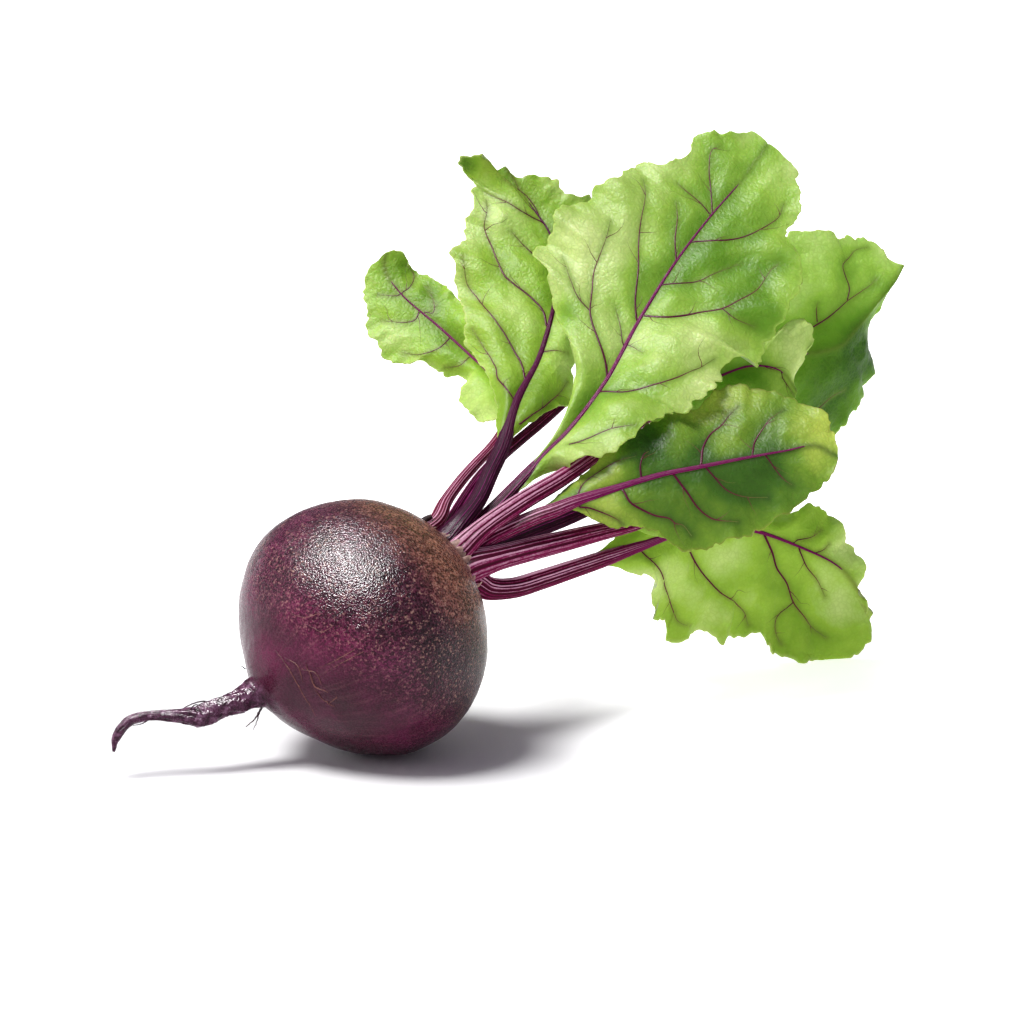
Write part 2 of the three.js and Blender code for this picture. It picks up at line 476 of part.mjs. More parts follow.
// One ring of a stalk or rib: ridges and grooves in turn round a flattened circle.
function stalkRing(centre, ahead, level, width) {
  const up = new THREE.Vector3().crossVectors(ahead, level);
  const points = [];
  for (let j = 0; j < STALK_SIDES; j++) {
    const angle = (2 * Math.PI * j) / STALK_SIDES;
    const radius = (width / 2) * (j % 2 ? GROOVE : 1);
    const point = centre.clone().addScaledVector(level, radius * Math.cos(angle));
    points.push(point.addScaledVector(up, radius * STALK_FLATNESS * Math.sin(angle)));
  }
  return points;
}

function stalkSolid(plan, extra) {
  const { leaf, course, foot } = plan;
  const footLevel = plan.levelAt(0.03);
  const rings = [];
  const stalkSteps = 9;
  for (let i = 0; i < stalkSteps; i++) {
    const t = (i / stalkSteps) * foot;
    const ahead = course.getTangentAt(t);
    const level = footLevel.clone().projectOnPlane(ahead).normalize();
    const width = THREE.MathUtils.lerp(leaf.wide, leaf.ribWide + RIB_TIP_WIDTH, (i / stalkSteps) ** 2);
    rings.push(stalkRing(course.getPointAt(t), ahead, level, width + 2 * extra));
  }
  const lastRing = Math.round(RIB_STOP * STATIONS) - 2;
  for (let i = 0; i <= lastRing; i += 2) {
    const s = i / STATIONS;
    const width = plan.halfRib(s) * 2 + 2 * extra;
    rings.push(stalkRing(plan.ribAt(s), plan.ribAhead(s), plan.levelAt(s), width));
  }
  return toSolid(tube(rings));
}

// ---- the whole plant ----

const beetroot = new THREE.Group();

function addNode(name, solid, material) {
  const mesh = new THREE.Mesh(toGeometry(solid), material);
  mesh.name = name;
  beetroot.add(mesh);
}

addNode("root", rootSolid(0).subtract(belowSurface()), SKIN);
// Each stalk gives way to the root and to the stalks before it in the list.
const taken = [rootSolid(GAP)];
for (const [name, leaf] of Object.entries(LEAVES)) {
  const plan = layOut(leaf);
  const cut = taken.reduce((solid, other) => solid.subtract(other), stalkSolid(plan, 0));
  const pieces = cut.decompose().sort((a, b) => b.volume() - a.volume());
  addNode(`stalk_${name}`, pieces[0], STALK_RED);
  taken.push(stalkSolid(plan, GAP));
  addNode(`blade_${name}`, thicken(bladeSheet(plan), BLADE_THICKNESS), LEAF_GREEN);
}

export default beetroot;
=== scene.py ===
# %% [markdown]
# # A beetroot with its leaves
#
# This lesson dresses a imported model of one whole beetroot, lying on its side with nine leaves on ribbed
# stalks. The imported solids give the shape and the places. Here each of them gets a finer body of the same
# form, with what a solid can't carry well: grain in the skin, veins, puckers, teeth along the leaf edges,
# and hair roots.
#
# Lengths are in millimetres until a mesh is made, and metres from there on.

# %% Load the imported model
import math

import bpy
import numpy as np
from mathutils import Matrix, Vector, kdtree, noise


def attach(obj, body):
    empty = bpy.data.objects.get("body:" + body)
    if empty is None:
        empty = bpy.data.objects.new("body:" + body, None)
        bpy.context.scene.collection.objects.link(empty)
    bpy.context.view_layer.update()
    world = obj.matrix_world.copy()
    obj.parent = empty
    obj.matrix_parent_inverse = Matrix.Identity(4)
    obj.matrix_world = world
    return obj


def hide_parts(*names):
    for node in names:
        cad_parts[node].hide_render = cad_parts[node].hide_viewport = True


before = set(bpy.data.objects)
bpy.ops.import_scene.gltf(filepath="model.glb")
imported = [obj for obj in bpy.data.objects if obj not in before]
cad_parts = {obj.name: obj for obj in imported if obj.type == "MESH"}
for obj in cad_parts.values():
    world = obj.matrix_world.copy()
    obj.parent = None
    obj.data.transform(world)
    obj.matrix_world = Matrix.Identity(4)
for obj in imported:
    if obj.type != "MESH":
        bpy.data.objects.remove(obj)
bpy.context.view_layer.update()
print("solids:", len(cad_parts))

# %% [markdown]
# ## The camera
#
# The plant is set out as someone in front of it sees it, so the eye comes first. It looks down by twelve
# degrees from a metre away, and the whole picture is 307 mm wide where the root lies. Every place below is
# then [across, up, back]: across and up in the upright picture plane through the middle of the root, and
# back along the line of sight. What is further back looks smaller, so it is opened out by the same share.
# Plain X, Y and Z would do too, but then no leaf's outline could be written down as it is seen.

# %% Sight frame and camera
MM = 0.001
EYE_DISTANCE = 1000
EYE_DROP = math.radians(12)
PICTURE_WIDTH = 307.2
PICTURE_MIDDLE = np.array([46.5, 34.5])
MIDDLE = np.array([-5.5, -3.5, 39])
RIGHT = np.array([1, 0, 0])
FORWARD = np.array([0, math.cos(EYE_DROP), -math.sin(EYE_DROP)])
UP = np.array([0, math.sin(EYE_DROP), math.cos(EYE_DROP)])
SENSOR = 36
SIGHT_END = 20  # metres


def place(places):
    """Places as [across, up, back] turned into points of the model."""
    places = np.atleast_2d(np.asarray(places, float))
    opened = 1 + places[:, 2:] / EYE_DISTANCE
    flat = PICTURE_MIDDLE + (places[:, :2] - PICTURE_MIDDLE) * opened
    return MIDDLE + flat[:, :1] * RIGHT + flat[:, 1:] * UP + places[:, 2:] * FORWARD


def seen(points):
    """The reverse: points of the model turned into [across, up, back]."""
    rel = points - MIDDLE
    back = rel @ FORWARD
    flat = np.stack([rel @ RIGHT, rel @ UP], -1)
    flat = PICTURE_MIDDLE + (flat - PICTURE_MIDDLE) / (1 + back[..., None] / EYE_DISTANCE)
    return np.concatenate([flat, back[..., None]], -1)


eye = MIDDLE + PICTURE_MIDDLE[0] * RIGHT + PICTURE_MIDDLE[1] * UP - EYE_DISTANCE * FORWARD
camera_data = bpy.data.cameras.new("camera")
camera_data.sensor_width = SENSOR
camera_data.lens = SENSOR * EYE_DISTANCE / PICTURE_WIDTH
camera_data.clip_end = SIGHT_END
camera = bpy.data.objects.new("camera", camera_data)
bpy.context.collection.objects.link(camera)
camera.location = Vector(eye) * MM
camera.rotation_euler = (math.pi / 2 - EYE_DROP, 0, 0)
bpy.context.scene.camera = camera
print("eye at", [round(v) for v in eye], "mm, lens", round(camera_data.lens, 1), "mm")

# %% [markdown]
# ## A piece from lists
#
# Nothing on a plant is a box or a cylinder. Its forms could be pushed about from a subdivided sphere or
# plane, but a mesh built by hand from lists of points and faces keeps full control over where each point
# goes. So one function turns such lists into a piece. The values that it stores on the points are read
# back later by the materials.

# %% Make a piece from points and faces
def piece(name, points, faces, looks, slots=None, values=None):
    """A smooth piece that rides on the root, from points in millimetres, with named values on its points."""
    mesh = bpy.data.meshes.new(name)
    mesh.from_pydata((np.asarray(points) * MM).tolist(), [], faces)
    for look in looks:
        mesh.materials.append(look)
    if slots is not None:
        mesh.polygons.foreach_set("material_index", slots)
    mesh.polygons.foreach_set("use_smooth", [True] * len(mesh.polygons))
    for key, numbers in (values or {}).items():
        layer = mesh.attributes.new(key, "FLOAT", "POINT")
        layer.data.foreach_set("value", np.asarray(numbers, np.float32).ravel())
    mesh.validate()
    made = bpy.data.objects.new(name, mesh)
    bpy.context.collection.objects.link(made)
    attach(made, "root")
    return made


print("pieces are made in", bpy.context.collection.name)

# %% [markdown]
# ## A course through places
#
# Stalks, ribs, veins and leaf edges all follow a smooth line through a few places. Blender's own curves
# could carry them, but the points along them are needed here as numbers. A Catmull-Rom spline passes
# through every place, evenly timed from one to the next, and doesn't swing out between close places.

# %% Draw a smooth course
MEASURE_STEPS = 800
A_MOMENT = 1e-4


def course(points):
    """A curve through the points, as a function of times from 0 to 1 (a centripetal Catmull-Rom spline)."""
    points = np.asarray(points, float)
    ends = [2 * points[0] - points[1], 2 * points[-1] - points[-2]]
    ring = np.vstack([ends[0], points, ends[1]])
    gaps = np.sqrt(np.linalg.norm(np.diff(ring, axis=0), axis=1))

    def at(times):
        times = np.atleast_1d(times) * (len(points) - 1)
        first = np.clip(np.floor(times).astype(int), 0, len(points) - 2)
        w = (times - first)[:, None]
        a, b, c, d = (ring[first + k] for k in range(4))
        g0, g1, g2 = (gaps[first + k][:, None] for k in range(3))
        t1 = ((b - a) / g0 - (c - a) / (g0 + g1) + (c - b) / g1) * g1
        t2 = ((c - b) / g1 - (d - b) / (g1 + g2) + (d - c) / g2) * g1
        return b + t1 * w + (3 * (c - b) - 2 * t1 - t2) * w**2 + (2 * (b - c) + t1 + t2) * w**3

    return at


def unit(vectors):
    return vectors / np.maximum(np.linalg.norm(vectors, axis=-1, keepdims=True), 1e-9)


def ahead_on(at, times):
    """The direction in which a course runs at the given times."""
    return unit(at(np.minimum(times + A_MOMENT, 1)) - at(np.maximum(times - A_MOMENT, 0)))


def run_along(points):
    """How far along a line each of its points lies."""
    return np.concatenate([[0], np.cumsum(np.linalg.norm(np.diff(points, axis=0), axis=1))])


def measured(at):
    """The same course as a function of the share of its length, and those shares at even times."""
    times = np.linspace(0, 1, MEASURE_STEPS + 1)
    shares = run_along(at(times))
    shares /= shares[-1]

    def at_share(share):
        return at(np.interp(np.atleast_1d(share), shares, times))

    return at_share, shares


print("the middle of an arch is at", course([[0, 0], [1, 1], [2, 0]])(0.5)[0])

# %% [markdown]
# ## Nodes and colours
#
# A material is a tree of nodes. One function adds a node with its settings and its inputs, which are values
# or the outputs of other nodes. Colours are written as the hex values that a screen shows, and a second
# function turns them to the linear values that light is worked out with.
#
# Three sets of settings come up again and again: a sum (first times second, plus third), a value that is
# spread smoothly between two others, and a mix of two colours.

# %% Add a node, and turn a colour linear
SUM = {"operation": "MULTIPLY_ADD"}
SMOOTHLY = {"interpolation_type": "SMOOTHSTEP"}
COLOURS = {"data_type": "RGBA", "out": 2}


def linear(hex_colour):
    parts = [int(hex_colour[i : i + 2], 16) / 255 for i in (1, 3, 5)]
    return [c / 12.92 if c <= 0.04045 else ((c + 0.055) / 1.055) ** 2.4 for c in parts] + [1]


def add(tree, kind, inputs=(), out=0, stops=(), **settings):
    """Add a node and give back one of its outputs.

    The inputs are a list in the node's own order, or a dictionary by name or number, of values, hex colours
    and outputs to link. The stops of a colour ramp are pairs of a position and a hex colour.
    """
    made = tree.nodes.new("ShaderNode" + kind)
    for key, value in settings.items():
        setattr(made, key, value)
    for k, (position, colour) in enumerate(stops):
        stop = made.color_ramp.elements[k] if k < 2 else made.color_ramp.elements.new(position)
        stop.position = position
        stop.color = linear(colour)
    for key, value in inputs.items() if isinstance(inputs, dict) else enumerate(inputs):
        if isinstance(value, bpy.types.NodeSocket):
            tree.links.new(value, made.inputs[key])
        else:
            made.inputs[key].default_value = linear(value) if isinstance(value, str) else value
    return made.outputs[out] if made.outputs else made


def new_look(name):
    look = bpy.data.materials.new(name)
    look.use_nodes = True
    look.node_tree.nodes.clear()
    return look, look.node_tree


print("middle grey is", round(linear("#808080")[0], 3), "when linear")

# %% [markdown]
# ## The skin of the root
#
# A beetroot's skin is a thin corky layer over purple flesh. Over most of the root it is cracked into grains
# of a fraction of a millimetre, each with a tan crest, and the highlight's sparkle on them is partly painted
# into their colour as lighter grains and darker cracks.
# Towards the crown it has sat out of the ground and turned brown, lighter on top; there the skin is painted
# darker on its lower side as shade. Low down on the side of the tap root it is smooth, thin and purple, with
# the flesh shining through as a blush.
#
# A painted picture could be wrapped round the root, but it would pinch at the ends. Noise in space has no
# seams and stays sharp close up, so the skin is mixed from that.
#
# The mesh tells the material where it is: "crown" runs from -1 at the tap root to 1 at the crown, "high"
# from -1 to 1, and "grain", "blush" and "tap" are 1 where the skin is grainy, blushed, or on the tap root.
# "around" is millimetres round the axis, for the faint streaks that run from the tap root to the crown.

# %% Beet skin: its patterns
skin, tree = new_look("beet_skin")
where = add(tree, "TexCoord", out="Object")
crown, high, grain, blush, tap, around = (
    add(tree, "Attribute", out="Fac", attribute_name=value)
    for value in ("crown", "high", "grain", "blush", "tap", "around")
)
# Clouds of colour are 24 mm wide and mottles 2.4 mm. The real cracks are 0.1 to 0.3 mm apart, too fine to
# show, so the dust on the grains and the grains themselves are drawn at 0.56 and 0.67 mm.
clouds, mottle, dust = (
    add(tree, "TexNoise", {"Vector": where, "Scale": 1 / (size * MM), "Detail": detail, "Roughness": rough})
    for size, detail, rough in ((23.81, 5, 0.62), (2.381, 3, 0.7), (0.5556, 2, 0.6))
)
grains = add(tree, "TexVoronoi", {"Vector": where, "Scale": 1 / (0.6667 * MM)}, "Color", feature="F1")
lucky = add(tree, "SeparateColor", [grains])
print("patterns:", len(tree.nodes), "nodes")

# %% Beet skin: purple, blush and streaks
# Streaks are 1.25 mm wide and run from end to end.
meridian = add(tree, "CombineXYZ", [around, add(tree, "Math", [crown, 3, 0], **SUM)])
streaks = add(tree, "TexNoise", {"Vector": meridian, "Scale": 1 / 1.25, "Detail": 4, "Roughness": 0.65})
streak_share = add(tree, "MapRange", [streaks, 0.45, 0.75, 0, 0.3], **SMOOTHLY)
purple = add(tree, "ValToRGB", [clouds], stops=[(0.34, "#2a0a18"), (0.52, "#3e1026"), (0.7, "#581a3a")])
blush_share = add(tree, "Math", [blush, 0.42, 0], **SUM)
blushed = add(tree, "Mix", {0: blush_share, 6: purple, 7: "#721c48"}, **COLOURS)
streaked = add(tree, "Mix", {0: streak_share, 6: blushed, 7: "#74484f"}, **COLOURS)
print("with the purple:", len(tree.nodes), "nodes")

# %% Beet skin: the brown crown
# Towards the crown the skin is painted darker low down as shade, and the crown itself turns brown, with
# painted shade underneath.
near_crown = add(tree, "MapRange", [crown, -0.3, 0.3], **SMOOTHLY)
low_down = add(tree, "MapRange", [high, -0.2, 0.5, 0.6, 0], **SMOOTHLY)
shade = add(tree, "Math", [near_crown, low_down, 0], **SUM)
skin_with_painted_shade = add(tree, "Mix", {0: shade, 6: streaked, 7: "#1c0810"}, **COLOURS)
brown = add(tree, "ValToRGB", [mottle], stops=[(0.3, "#42241e"), (0.5, "#6a4036"), (0.72, "#9a6a56")])
# Painted shade: the brown is mixed towards a dark brown on its lower side.
on_top = add(tree, "MapRange", [high, -0.3, 0.5], **SMOOTHLY)
shaded_brown = add(tree, "Mix", {0: on_top, 6: "#241211", 7: brown}, **COLOURS)
cloudy_crown = add(tree, "Math", [clouds, 0.8, crown], **SUM)
crowned = add(tree, "MapRange", [cloudy_crown, 0.62, 1.12], **SMOOTHLY)
skinned = add(tree, "Mix", {0: crowned, 6: skin_with_painted_shade, 7: shaded_brown}, **COLOURS)
print("with the crown:", len(tree.nodes), "nodes")

# %% Beet skin: grains, relief and sheen
# The cracks between the grains are painted darker and the grains lighter at random, partly the skin's own
# grain and partly painted sparkle, and the luckiest grains get a tan crest.
specks = add(tree, "Math", [dust, 0.8, add(tree, "Math", [lucky, 0.4, 0], **SUM)], **SUM)
flecks = add(tree, "MapRange", [specks, 0.42, 0.78, -0.6, 0.9], **SMOOTHLY)
graininess = add(tree, "Math", [grain, 0.75, 0.25], **SUM)
# Painted sparkle: each grain's colour is scaled up or down.
grain_and_painted_sparkle = add(tree, "Math", [flecks, graininess, 1], **SUM)
grained = add(tree, "VectorMath", {0: skinned, "Scale": grain_and_painted_sparkle}, operation="SCALE")
peaks = add(tree, "Math", [dust, 0.7, add(tree, "Math", [lucky, 0.45, 0], **SUM)], **SUM)
crests = add(tree, "MapRange", [peaks, 0.7, 0.9], **SMOOTHLY)
crest_share = add(tree, "Math", [crests, add(tree, "Math", [grain, 0.6, 0], **SUM), 0], **SUM)
specked = add(tree, "Mix", {0: crest_share, 6: grained, 7: "#b08c78"}, **COLOURS)
tap_skin = add(tree, "ValToRGB", [mottle], stops=[(0.34, "#1e0a18"), (0.5, "#4e2640"), (0.68, "#8e6280")])
tap_share = add(tree, "Math", [tap, 0.85, 0], **SUM)
tapped = add(tree, "Mix", {0: tap_share, 6: specked, 7: tap_skin}, **COLOURS)

relief = add(tree, "Math", [grains.node.outputs["Distance"], 0.5, dust], **SUM)
coarse = add(tree, "Bump", {"Height": mottle, "Strength": 0.2, "Distance": 0.6 * MM})
crispness = add(tree, "Math", [tap, 0.5, add(tree, "Math", [grain, 0.56, 0.08], **SUM)], **SUM)
fine = add(tree, "Bump", {"Height": relief, "Strength": crispness, "Distance": 0.4 * MM, "Normal": coarse})
roughness = add(tree, "MapRange", [dust, 0.35, 0.65, 0.2, 0.36], **SMOOTHLY)
add(tree, "OutputMaterial", {"Surface": add(tree, "BsdfPrincipled", {
    "Base Color": tapped, "Roughness": roughness, "IOR": 1.45, "Specular IOR Level": 0.22, "Normal": fine})})
print(skin.name, "has", len(tree.nodes), "nodes")

# %% [markdown]
# ## The skins of the stalks
#
# A leaf stalk of a beet is a bundle of fibres. Pale pink bands and thin crimson lines run along it, no two
# of one width. The lines could be cut into the mesh one by one, but there are hundreds, so the mesh only
# has the bands, and noise that is drawn out along the stalk gives the fibres.
#
# The value "pale" on the mesh is high on a pale band and 0 in a dark line, and is painted lighter on the
# stalk's upper side as painted light. "rib" goes from 0 to 1 where the stalk turns into the blade's rib, and
# "around" and "run" are millimetres around and along it.

# %% Petiole skins
def petiole_look(name, dark, middle, pale_pink, rib_red):
    look, tree = new_look(name)
    where = add(tree, "TexCoord", out="Object")
    around, run, pale, rib = (
        add(tree, "Attribute", out="Fac", attribute_name=value) for value in ("around", "run", "pale", "rib")
    )
    # Fibres are about 0.4 mm wide and fourteen times as long. The cells of the skin, under 0.1 mm, are too
    # fine to show, so its grit is drawn at 0.67 mm.
    drawn_out = add(tree, "CombineXYZ", [around, add(tree, "Math", [run, 0.07, 0], **SUM)])
    fibres = add(tree, "TexNoise", {"Vector": drawn_out, "Scale": 1 / 0.3846, "Detail": 3, "Roughness": 0.6})
    grit = add(tree, "TexNoise", {"Vector": where, "Scale": 1 / (0.6667 * MM), "Detail": 2})
    bands = add(tree, "Math", [pale, 0.95, -0.5], **SUM)
    gritty = add(tree, "Math", [grit, 0.3, bands], **SUM)
    lines = add(tree, "Math", [fibres, 0.7, gritty], **SUM)
    striped = add(tree, "ValToRGB", [lines], stops=[(0.12, dark), (0.42, middle), (0.8, pale_pink)])
    rib_share = add(tree, "Math", [rib, 0.8, 0], **SUM)
    ribbed = add(tree, "Mix", {0: rib_share, 6: striped, 7: rib_red}, **COLOURS)
    bump = add(tree, "Bump", {"Height": fibres, "Strength": 0.5, "Distance": 0.4 * MM})
    bumped = add(tree, "Bump", {"Height": grit, "Strength": 0.25, "Distance": 0.3 * MM, "Normal": bump})
    add(tree, "OutputMaterial", {"Surface": add(tree, "BsdfPrincipled", {
        "Base Color": ribbed, "Roughness": 0.42, "IOR": 1.4, "Specular IOR Level": 0.07,
        "Normal": bumped})})
    return look


petioles = {
    "pale": petiole_look("pale_petiole_skin", "#480322", "#80124a", "#e2acc6", "#760f54"),
    "bright": petiole_look("bright_petiole_skin", "#580322", "#861246", "#dc9cb8", "#740d54"),
    "crimson": petiole_look("crimson_petiole_skin", "#3a0422", "#6e0c46", "#b44c90", "#7c0c5c"),
    "plum": petiole_look("plum_petiole_skin", "#340a26", "#561638", "#9c2c80", "#5a0a40"),
}
# How wide the pale bands of each are, as the least and the greatest share of their spacing
BAND_SHARES = {"pale": (0.25, 1.0), "bright": (0.15, 0.7), "crimson": (0.12, 0.5), "plum": (0.08, 0.25)}
print("petioles:", ", ".join(petioles))

# %% [markdown]
# ## The skins of the blades
#
# A leaf blade is thin, waxy and full of sap, so light goes partly through it and its green glows. A fine
# net of veins with meshes of 1.6 mm runs through it, and the green changes over a few centimetres. The
# upper face is glossier than the underside. The net could be a picture, but a web of noise cells follows
# the puckered blade without being stretched.
#
# The value "vein" on the mesh is highest beside a vein and falls off within about 2 mm, "puff" is 1 in the
# middle between veins, "out" runs from 0 on the rib to 1 on the leaf's edge, "edge" is above 0 on the edge
# alone, and "tint" is above 0 on lighter patches and below 0 on deeper ones, which are partly the leaf's own
# and partly painted shadow, painted shade and painted sheen.

# %% Blade skins
def blade_look(name, shade, deep, fresh, light, vein_green, edge_green, gloss):
    look, tree = new_look(name)
    where = add(tree, "TexCoord", out="Object")
    vein, puff, out, edge, tint = (
        add(tree, "Attribute", out="Fac", attribute_name=value)
        for value in ("vein", "puff", "out", "edge", "tint")
    )
    patches, crinkles = (
        add(tree, "TexNoise", {"Vector": where, "Scale": scale, "Detail": detail, "Roughness": 0.55})
        for scale, detail in ((1 / (29.41 * MM), 4), (1 / (3.846 * MM), 3))
    )
    lit_out = add(tree, "Math", [out, 0.16, patches], **SUM)
    # Painted highlight: the blisters' middles, between the veins, are painted a little lighter.
    painted_blister_highlight_and_patches = add(tree, "Math", [puff, 0.1, lit_out], **SUM)
    # The tint brings in painted shadow, painted shade and painted sheen as well as the leaf's own patches.
    tinted = add(tree, "Math", [tint, 0.4, painted_blister_highlight_and_patches], **SUM)
    green = add(tree, "ValToRGB", [tinted], stops=[(0.05, shade), (0.4, deep), (0.65, fresh), (0.95, light)])
    # The net's lines are bent by up to 1.2 mm, so that its meshes aren't straight-sided.
    bent = add(tree, "TexNoise", {"Vector": where, "Scale": 1 / (2.381 * MM), "Detail": 2}, "Color")
    drift = add(tree, "VectorMath", [bent, [1.2 * MM] * 3, where], **SUM)
    net_scale = 1 / (1.613 * MM)
    net = add(tree, "TexVoronoi", {"Vector": drift, "Scale": net_scale}, feature="DISTANCE_TO_EDGE")
    net_share = add(tree, "MapRange", [net, 0, 0.2, 0.16, 0], **SMOOTHLY)
    netted = add(tree, "Mix", {0: net_share, 6: green, 7: deep}, **COLOURS)
    veined = add(tree, "Mix", {0: vein, 6: netted, 7: vein_green}, **COLOURS)
    rimmed = add(tree, "Mix", {0: edge, 6: veined, 7: edge_green}, **COLOURS)
    relief = add(tree, "Math", [crinkles, 2.2, net], **SUM)
    bump = add(tree, "Bump", {"Height": relief, "Strength": 0.34, "Distance": 0.7 * MM})
    add(tree, "OutputMaterial", {"Surface": add(tree, "BsdfPrincipled", {
        "Base Color": rimmed, "Roughness": gloss, "IOR": 1.45, "Specular IOR Level": 0.06, "Normal": bump,
        "Subsurface Weight": 0.25, "Subsurface Radius": (0.5, 1.0, 0.2), "Subsurface Scale": 2 * MM})})
    return look


blades = {
    name: blade_look(*words)
    for name, *words in (
        ("young", "young_leaf_blade", "#426416", "#749628", "#98b840", "#c8d888", "#6a7230", "#bcc878", 0.5),
        ("full", "full_leaf_blade", "#2e520e", "#628c24", "#94b646", "#c4d684", "#607828", "#a8c05c", 0.48),
        ("olive", "olive_leaf_blade", "#1e3e12", "#40641e", "#70902c", "#b0c050", "#34461e", "#847c38", 0.5),
        ("under", "leaf_underside", "#5c7c40", "#80a058", "#a2b878", "#c0d09c", "#7a7a50", "#a8b47c", 0.6),
    )
}
# A vein is a red cord of sap under a thin skin, with hardly any gloss, and turns green as it runs out.
vein_skin, tree = new_look("leaf_vein")
along = add(tree, "Attribute", out="Fac", attribute_name="along")
vein_red = add(tree, "ValToRGB", [along], stops=[(0.3, "#52082c"), (0.7, "#642432"), (1, "#6c7c34")])
add(tree, "OutputMaterial", {"Surface": add(tree, "BsdfPrincipled", {
    "Base Color": vein_red, "Roughness": 0.45, "Specular IOR Level": 0.06})})
print("blades:", ", ".join(blades))

# %% [markdown]
# ## The root's body
#
# The swollen root is nearly a ball, turned about an axis that runs from the tap root to the crown. The
# rings of points below follow the same rule as the solid: half an ellipse towards the crown, and a curve
# that narrows faster towards the tap root. Then the tap root itself is swept along its own course, with
# knots and flakes that a lathe couldn't make. One closed skin over all of it is what the real thing has.

# %% Rings of the root
ROOT_RADIUS = 40.3
CROWN_REACH = 37.7
TAIL_REACH = 37
CROWN_POWER = 0.5
TAIL_POWER = 0.71
SAG = 1.5
CROWN = place([29.5, 24, 12])[0]
TAIL = place([-30.2, -19.8, -11])[0]
AXIS = unit(CROWN - TAIL)
SIDEWAYS = unit(np.cross([0, 0, 1], AXIS))
UPWARDS = np.cross(AXIS, SIDEWAYS)
ROOT_SIDES = 160
BODY_RINGS = 60


def smooth_step(values, low, high):
    part = np.clip((values - low) / (high - low), 0, 1)
    return part * part * (3 - 2 * part)


def around_circle(sides):
    return np.linspace(0, 2 * math.pi, sides, endpoint=False)


def ring_of(centre, radii, angles, across, up):
    """A ring of points round a centre, in the plane of two directions."""
    return centre + radii * (np.cos(angles)[:, None] * across + np.sin(angles)[:, None] * up)


def body_ring(along):
    """A slightly uneven ring of the root at a distance along its axis from the middle."""
    reach, power = (CROWN_REACH, CROWN_POWER) if along > 0 else (TAIL_REACH, TAIL_POWER)
    angles = around_circle(ROOT_SIDES)
    round_radius = ROOT_RADIUS * max(0, 1 - (along / reach) ** 2) ** power
    radii = round_radius * (1 + 0.006 * np.sin(2 * angles + 0.6) + 0.005 * np.sin(3 * angles + along / 11))
    centre = MIDDLE + AXIS * along - UPWARDS * SAG * radii[0] / ROOT_RADIUS
    return ring_of(centre, radii[:, None], angles, SIDEWAYS, UPWARDS)


crown_rings = [body_ring(CROWN_REACH * math.cos(a)) for a in np.linspace(0.02, math.pi / 2, BODY_RINGS)]
tail_rings = [body_ring(-TAIL_REACH * math.sin(a)) for a in np.linspace(0.03, 1.27, BODY_RINGS)]
print("the root is", round(np.ptp(crown_rings[-1][:, 2])), "mm high at its widest ring")

# %% Rings of the tap root
# Its places as [across, up, back, radius]
TAP_ROOT = np.array([
    [-35, -22, -13, 3.9], [-41, -24.3, -15, 3.2], [-47, -26.6, -17, 2.8], [-53, -26.6, -18.5, 2.0],
    [-62, -26.6, -20, 1.55], [-68.5, -28.4, -21, 1.45], [-72.2, -33, -21.5, 1.2], [-73, -37.4, -21.5, 0.35],
])
TAP_RINGS = 260
KNOB_AT = 3.2  # places along the tap root


def noise_round(angles, radius, height):
    """Noise read on a circle, so that it closes on itself."""
    spots = [Vector((radius * math.cos(a), radius * math.sin(a), height)) for a in angles]
    return np.array([noise.noise(spot) for spot in spots])


def tap_rings():
    """The tap root: creased along its length where it leaves the root, and wrinkled across further out."""
    route = course(np.vstack([TAIL, place(TAP_ROOT[:, :3])]))
    angles = around_circle(ROOT_SIDES)
    rings = []
    for i in range(1, TAP_RINGS + 1):
        t = i / TAP_RINGS * len(TAP_ROOT)
        radius = np.interp(t - 1, range(len(TAP_ROOT)), TAP_ROOT[:, 3])
        time = np.array([i / TAP_RINGS])
        turned = smooth_step(t, 0, 1.1)
        ahead = unit(AXIS * (1 - turned) - ahead_on(route, time)[0] * turned)
        across = unit(np.cross([0, 0, 1], ahead))
        twisted = angles + 0.5 * t
        flare = 0.3 * math.exp(-((t / 0.35) ** 2))
        creases = 0.06 * np.sin(5 * twisted) + 0.04 * np.sin(9 * twisted + 1.3)
        knots = 0.1 * np.sin(2 * angles + t * 1.7)
        knob = 0.18 * math.exp(-((t - KNOB_AT) ** 2) / 0.06) * np.clip(-np.sin(angles), 0, 1)
        wrinkles = 0.14 * noise_round(angles, 1.6, t * 2.2)
        flakes = 0.05 * noise_round(angles, 4, t * 9)
        radii = radius * (1 + flare + (knots + creases + knob + wrinkles + flakes) * min(1, t))
        rings.append(ring_of(route(time)[0], radii[:, None], angles, across, np.cross(ahead, across)))
    return rings


tap_root_rings = tap_rings()
print("the tap root ends at", [round(v) for v in tap_root_rings[-1].mean(0)])

# %% Close the rings into one skin
def closed_tube(rings):
    """Points and faces of a tube through rings of equal count, closed by a fan at either end."""
    count = len(rings[0])
    points = np.vstack([*rings, rings[0].mean(0), rings[-1].mean(0)])
    faces = []
    for i in range(len(rings) - 1):
        for j in range(count):
            a, b = i * count + j, i * count + (j + 1) % count
            faces.append((a, b, b + count, a + count))
    last = (len(rings) - 1) * count
    for j in range(count):
        faces.append((len(points) - 2, (j + 1) % count, j))
        faces.append((len(points) - 1, last + j, last + (j + 1) % count))
    return points, faces


points, faces = closed_tube([*crown_rings, *tail_rings, *tap_root_rings][::-1])
print("root:", len(faces), "faces")

# %% [markdown]
# A real root isn't as smooth as its rule. Low swellings of 9 mm and dents of 2.5 mm are added by noise that
# moves each point outwards or inwards, and the underside is held above the surface that it lies on. The
# same points then tell where the skin is grainy, where it blushes and where the tap root starts.

# %% Swell and mark the root
BLUSHES = [[-18, 5, 8], [-12, -5, 8], [-4, -6, 7], [-26, -9, 7]]  # across, up, radius

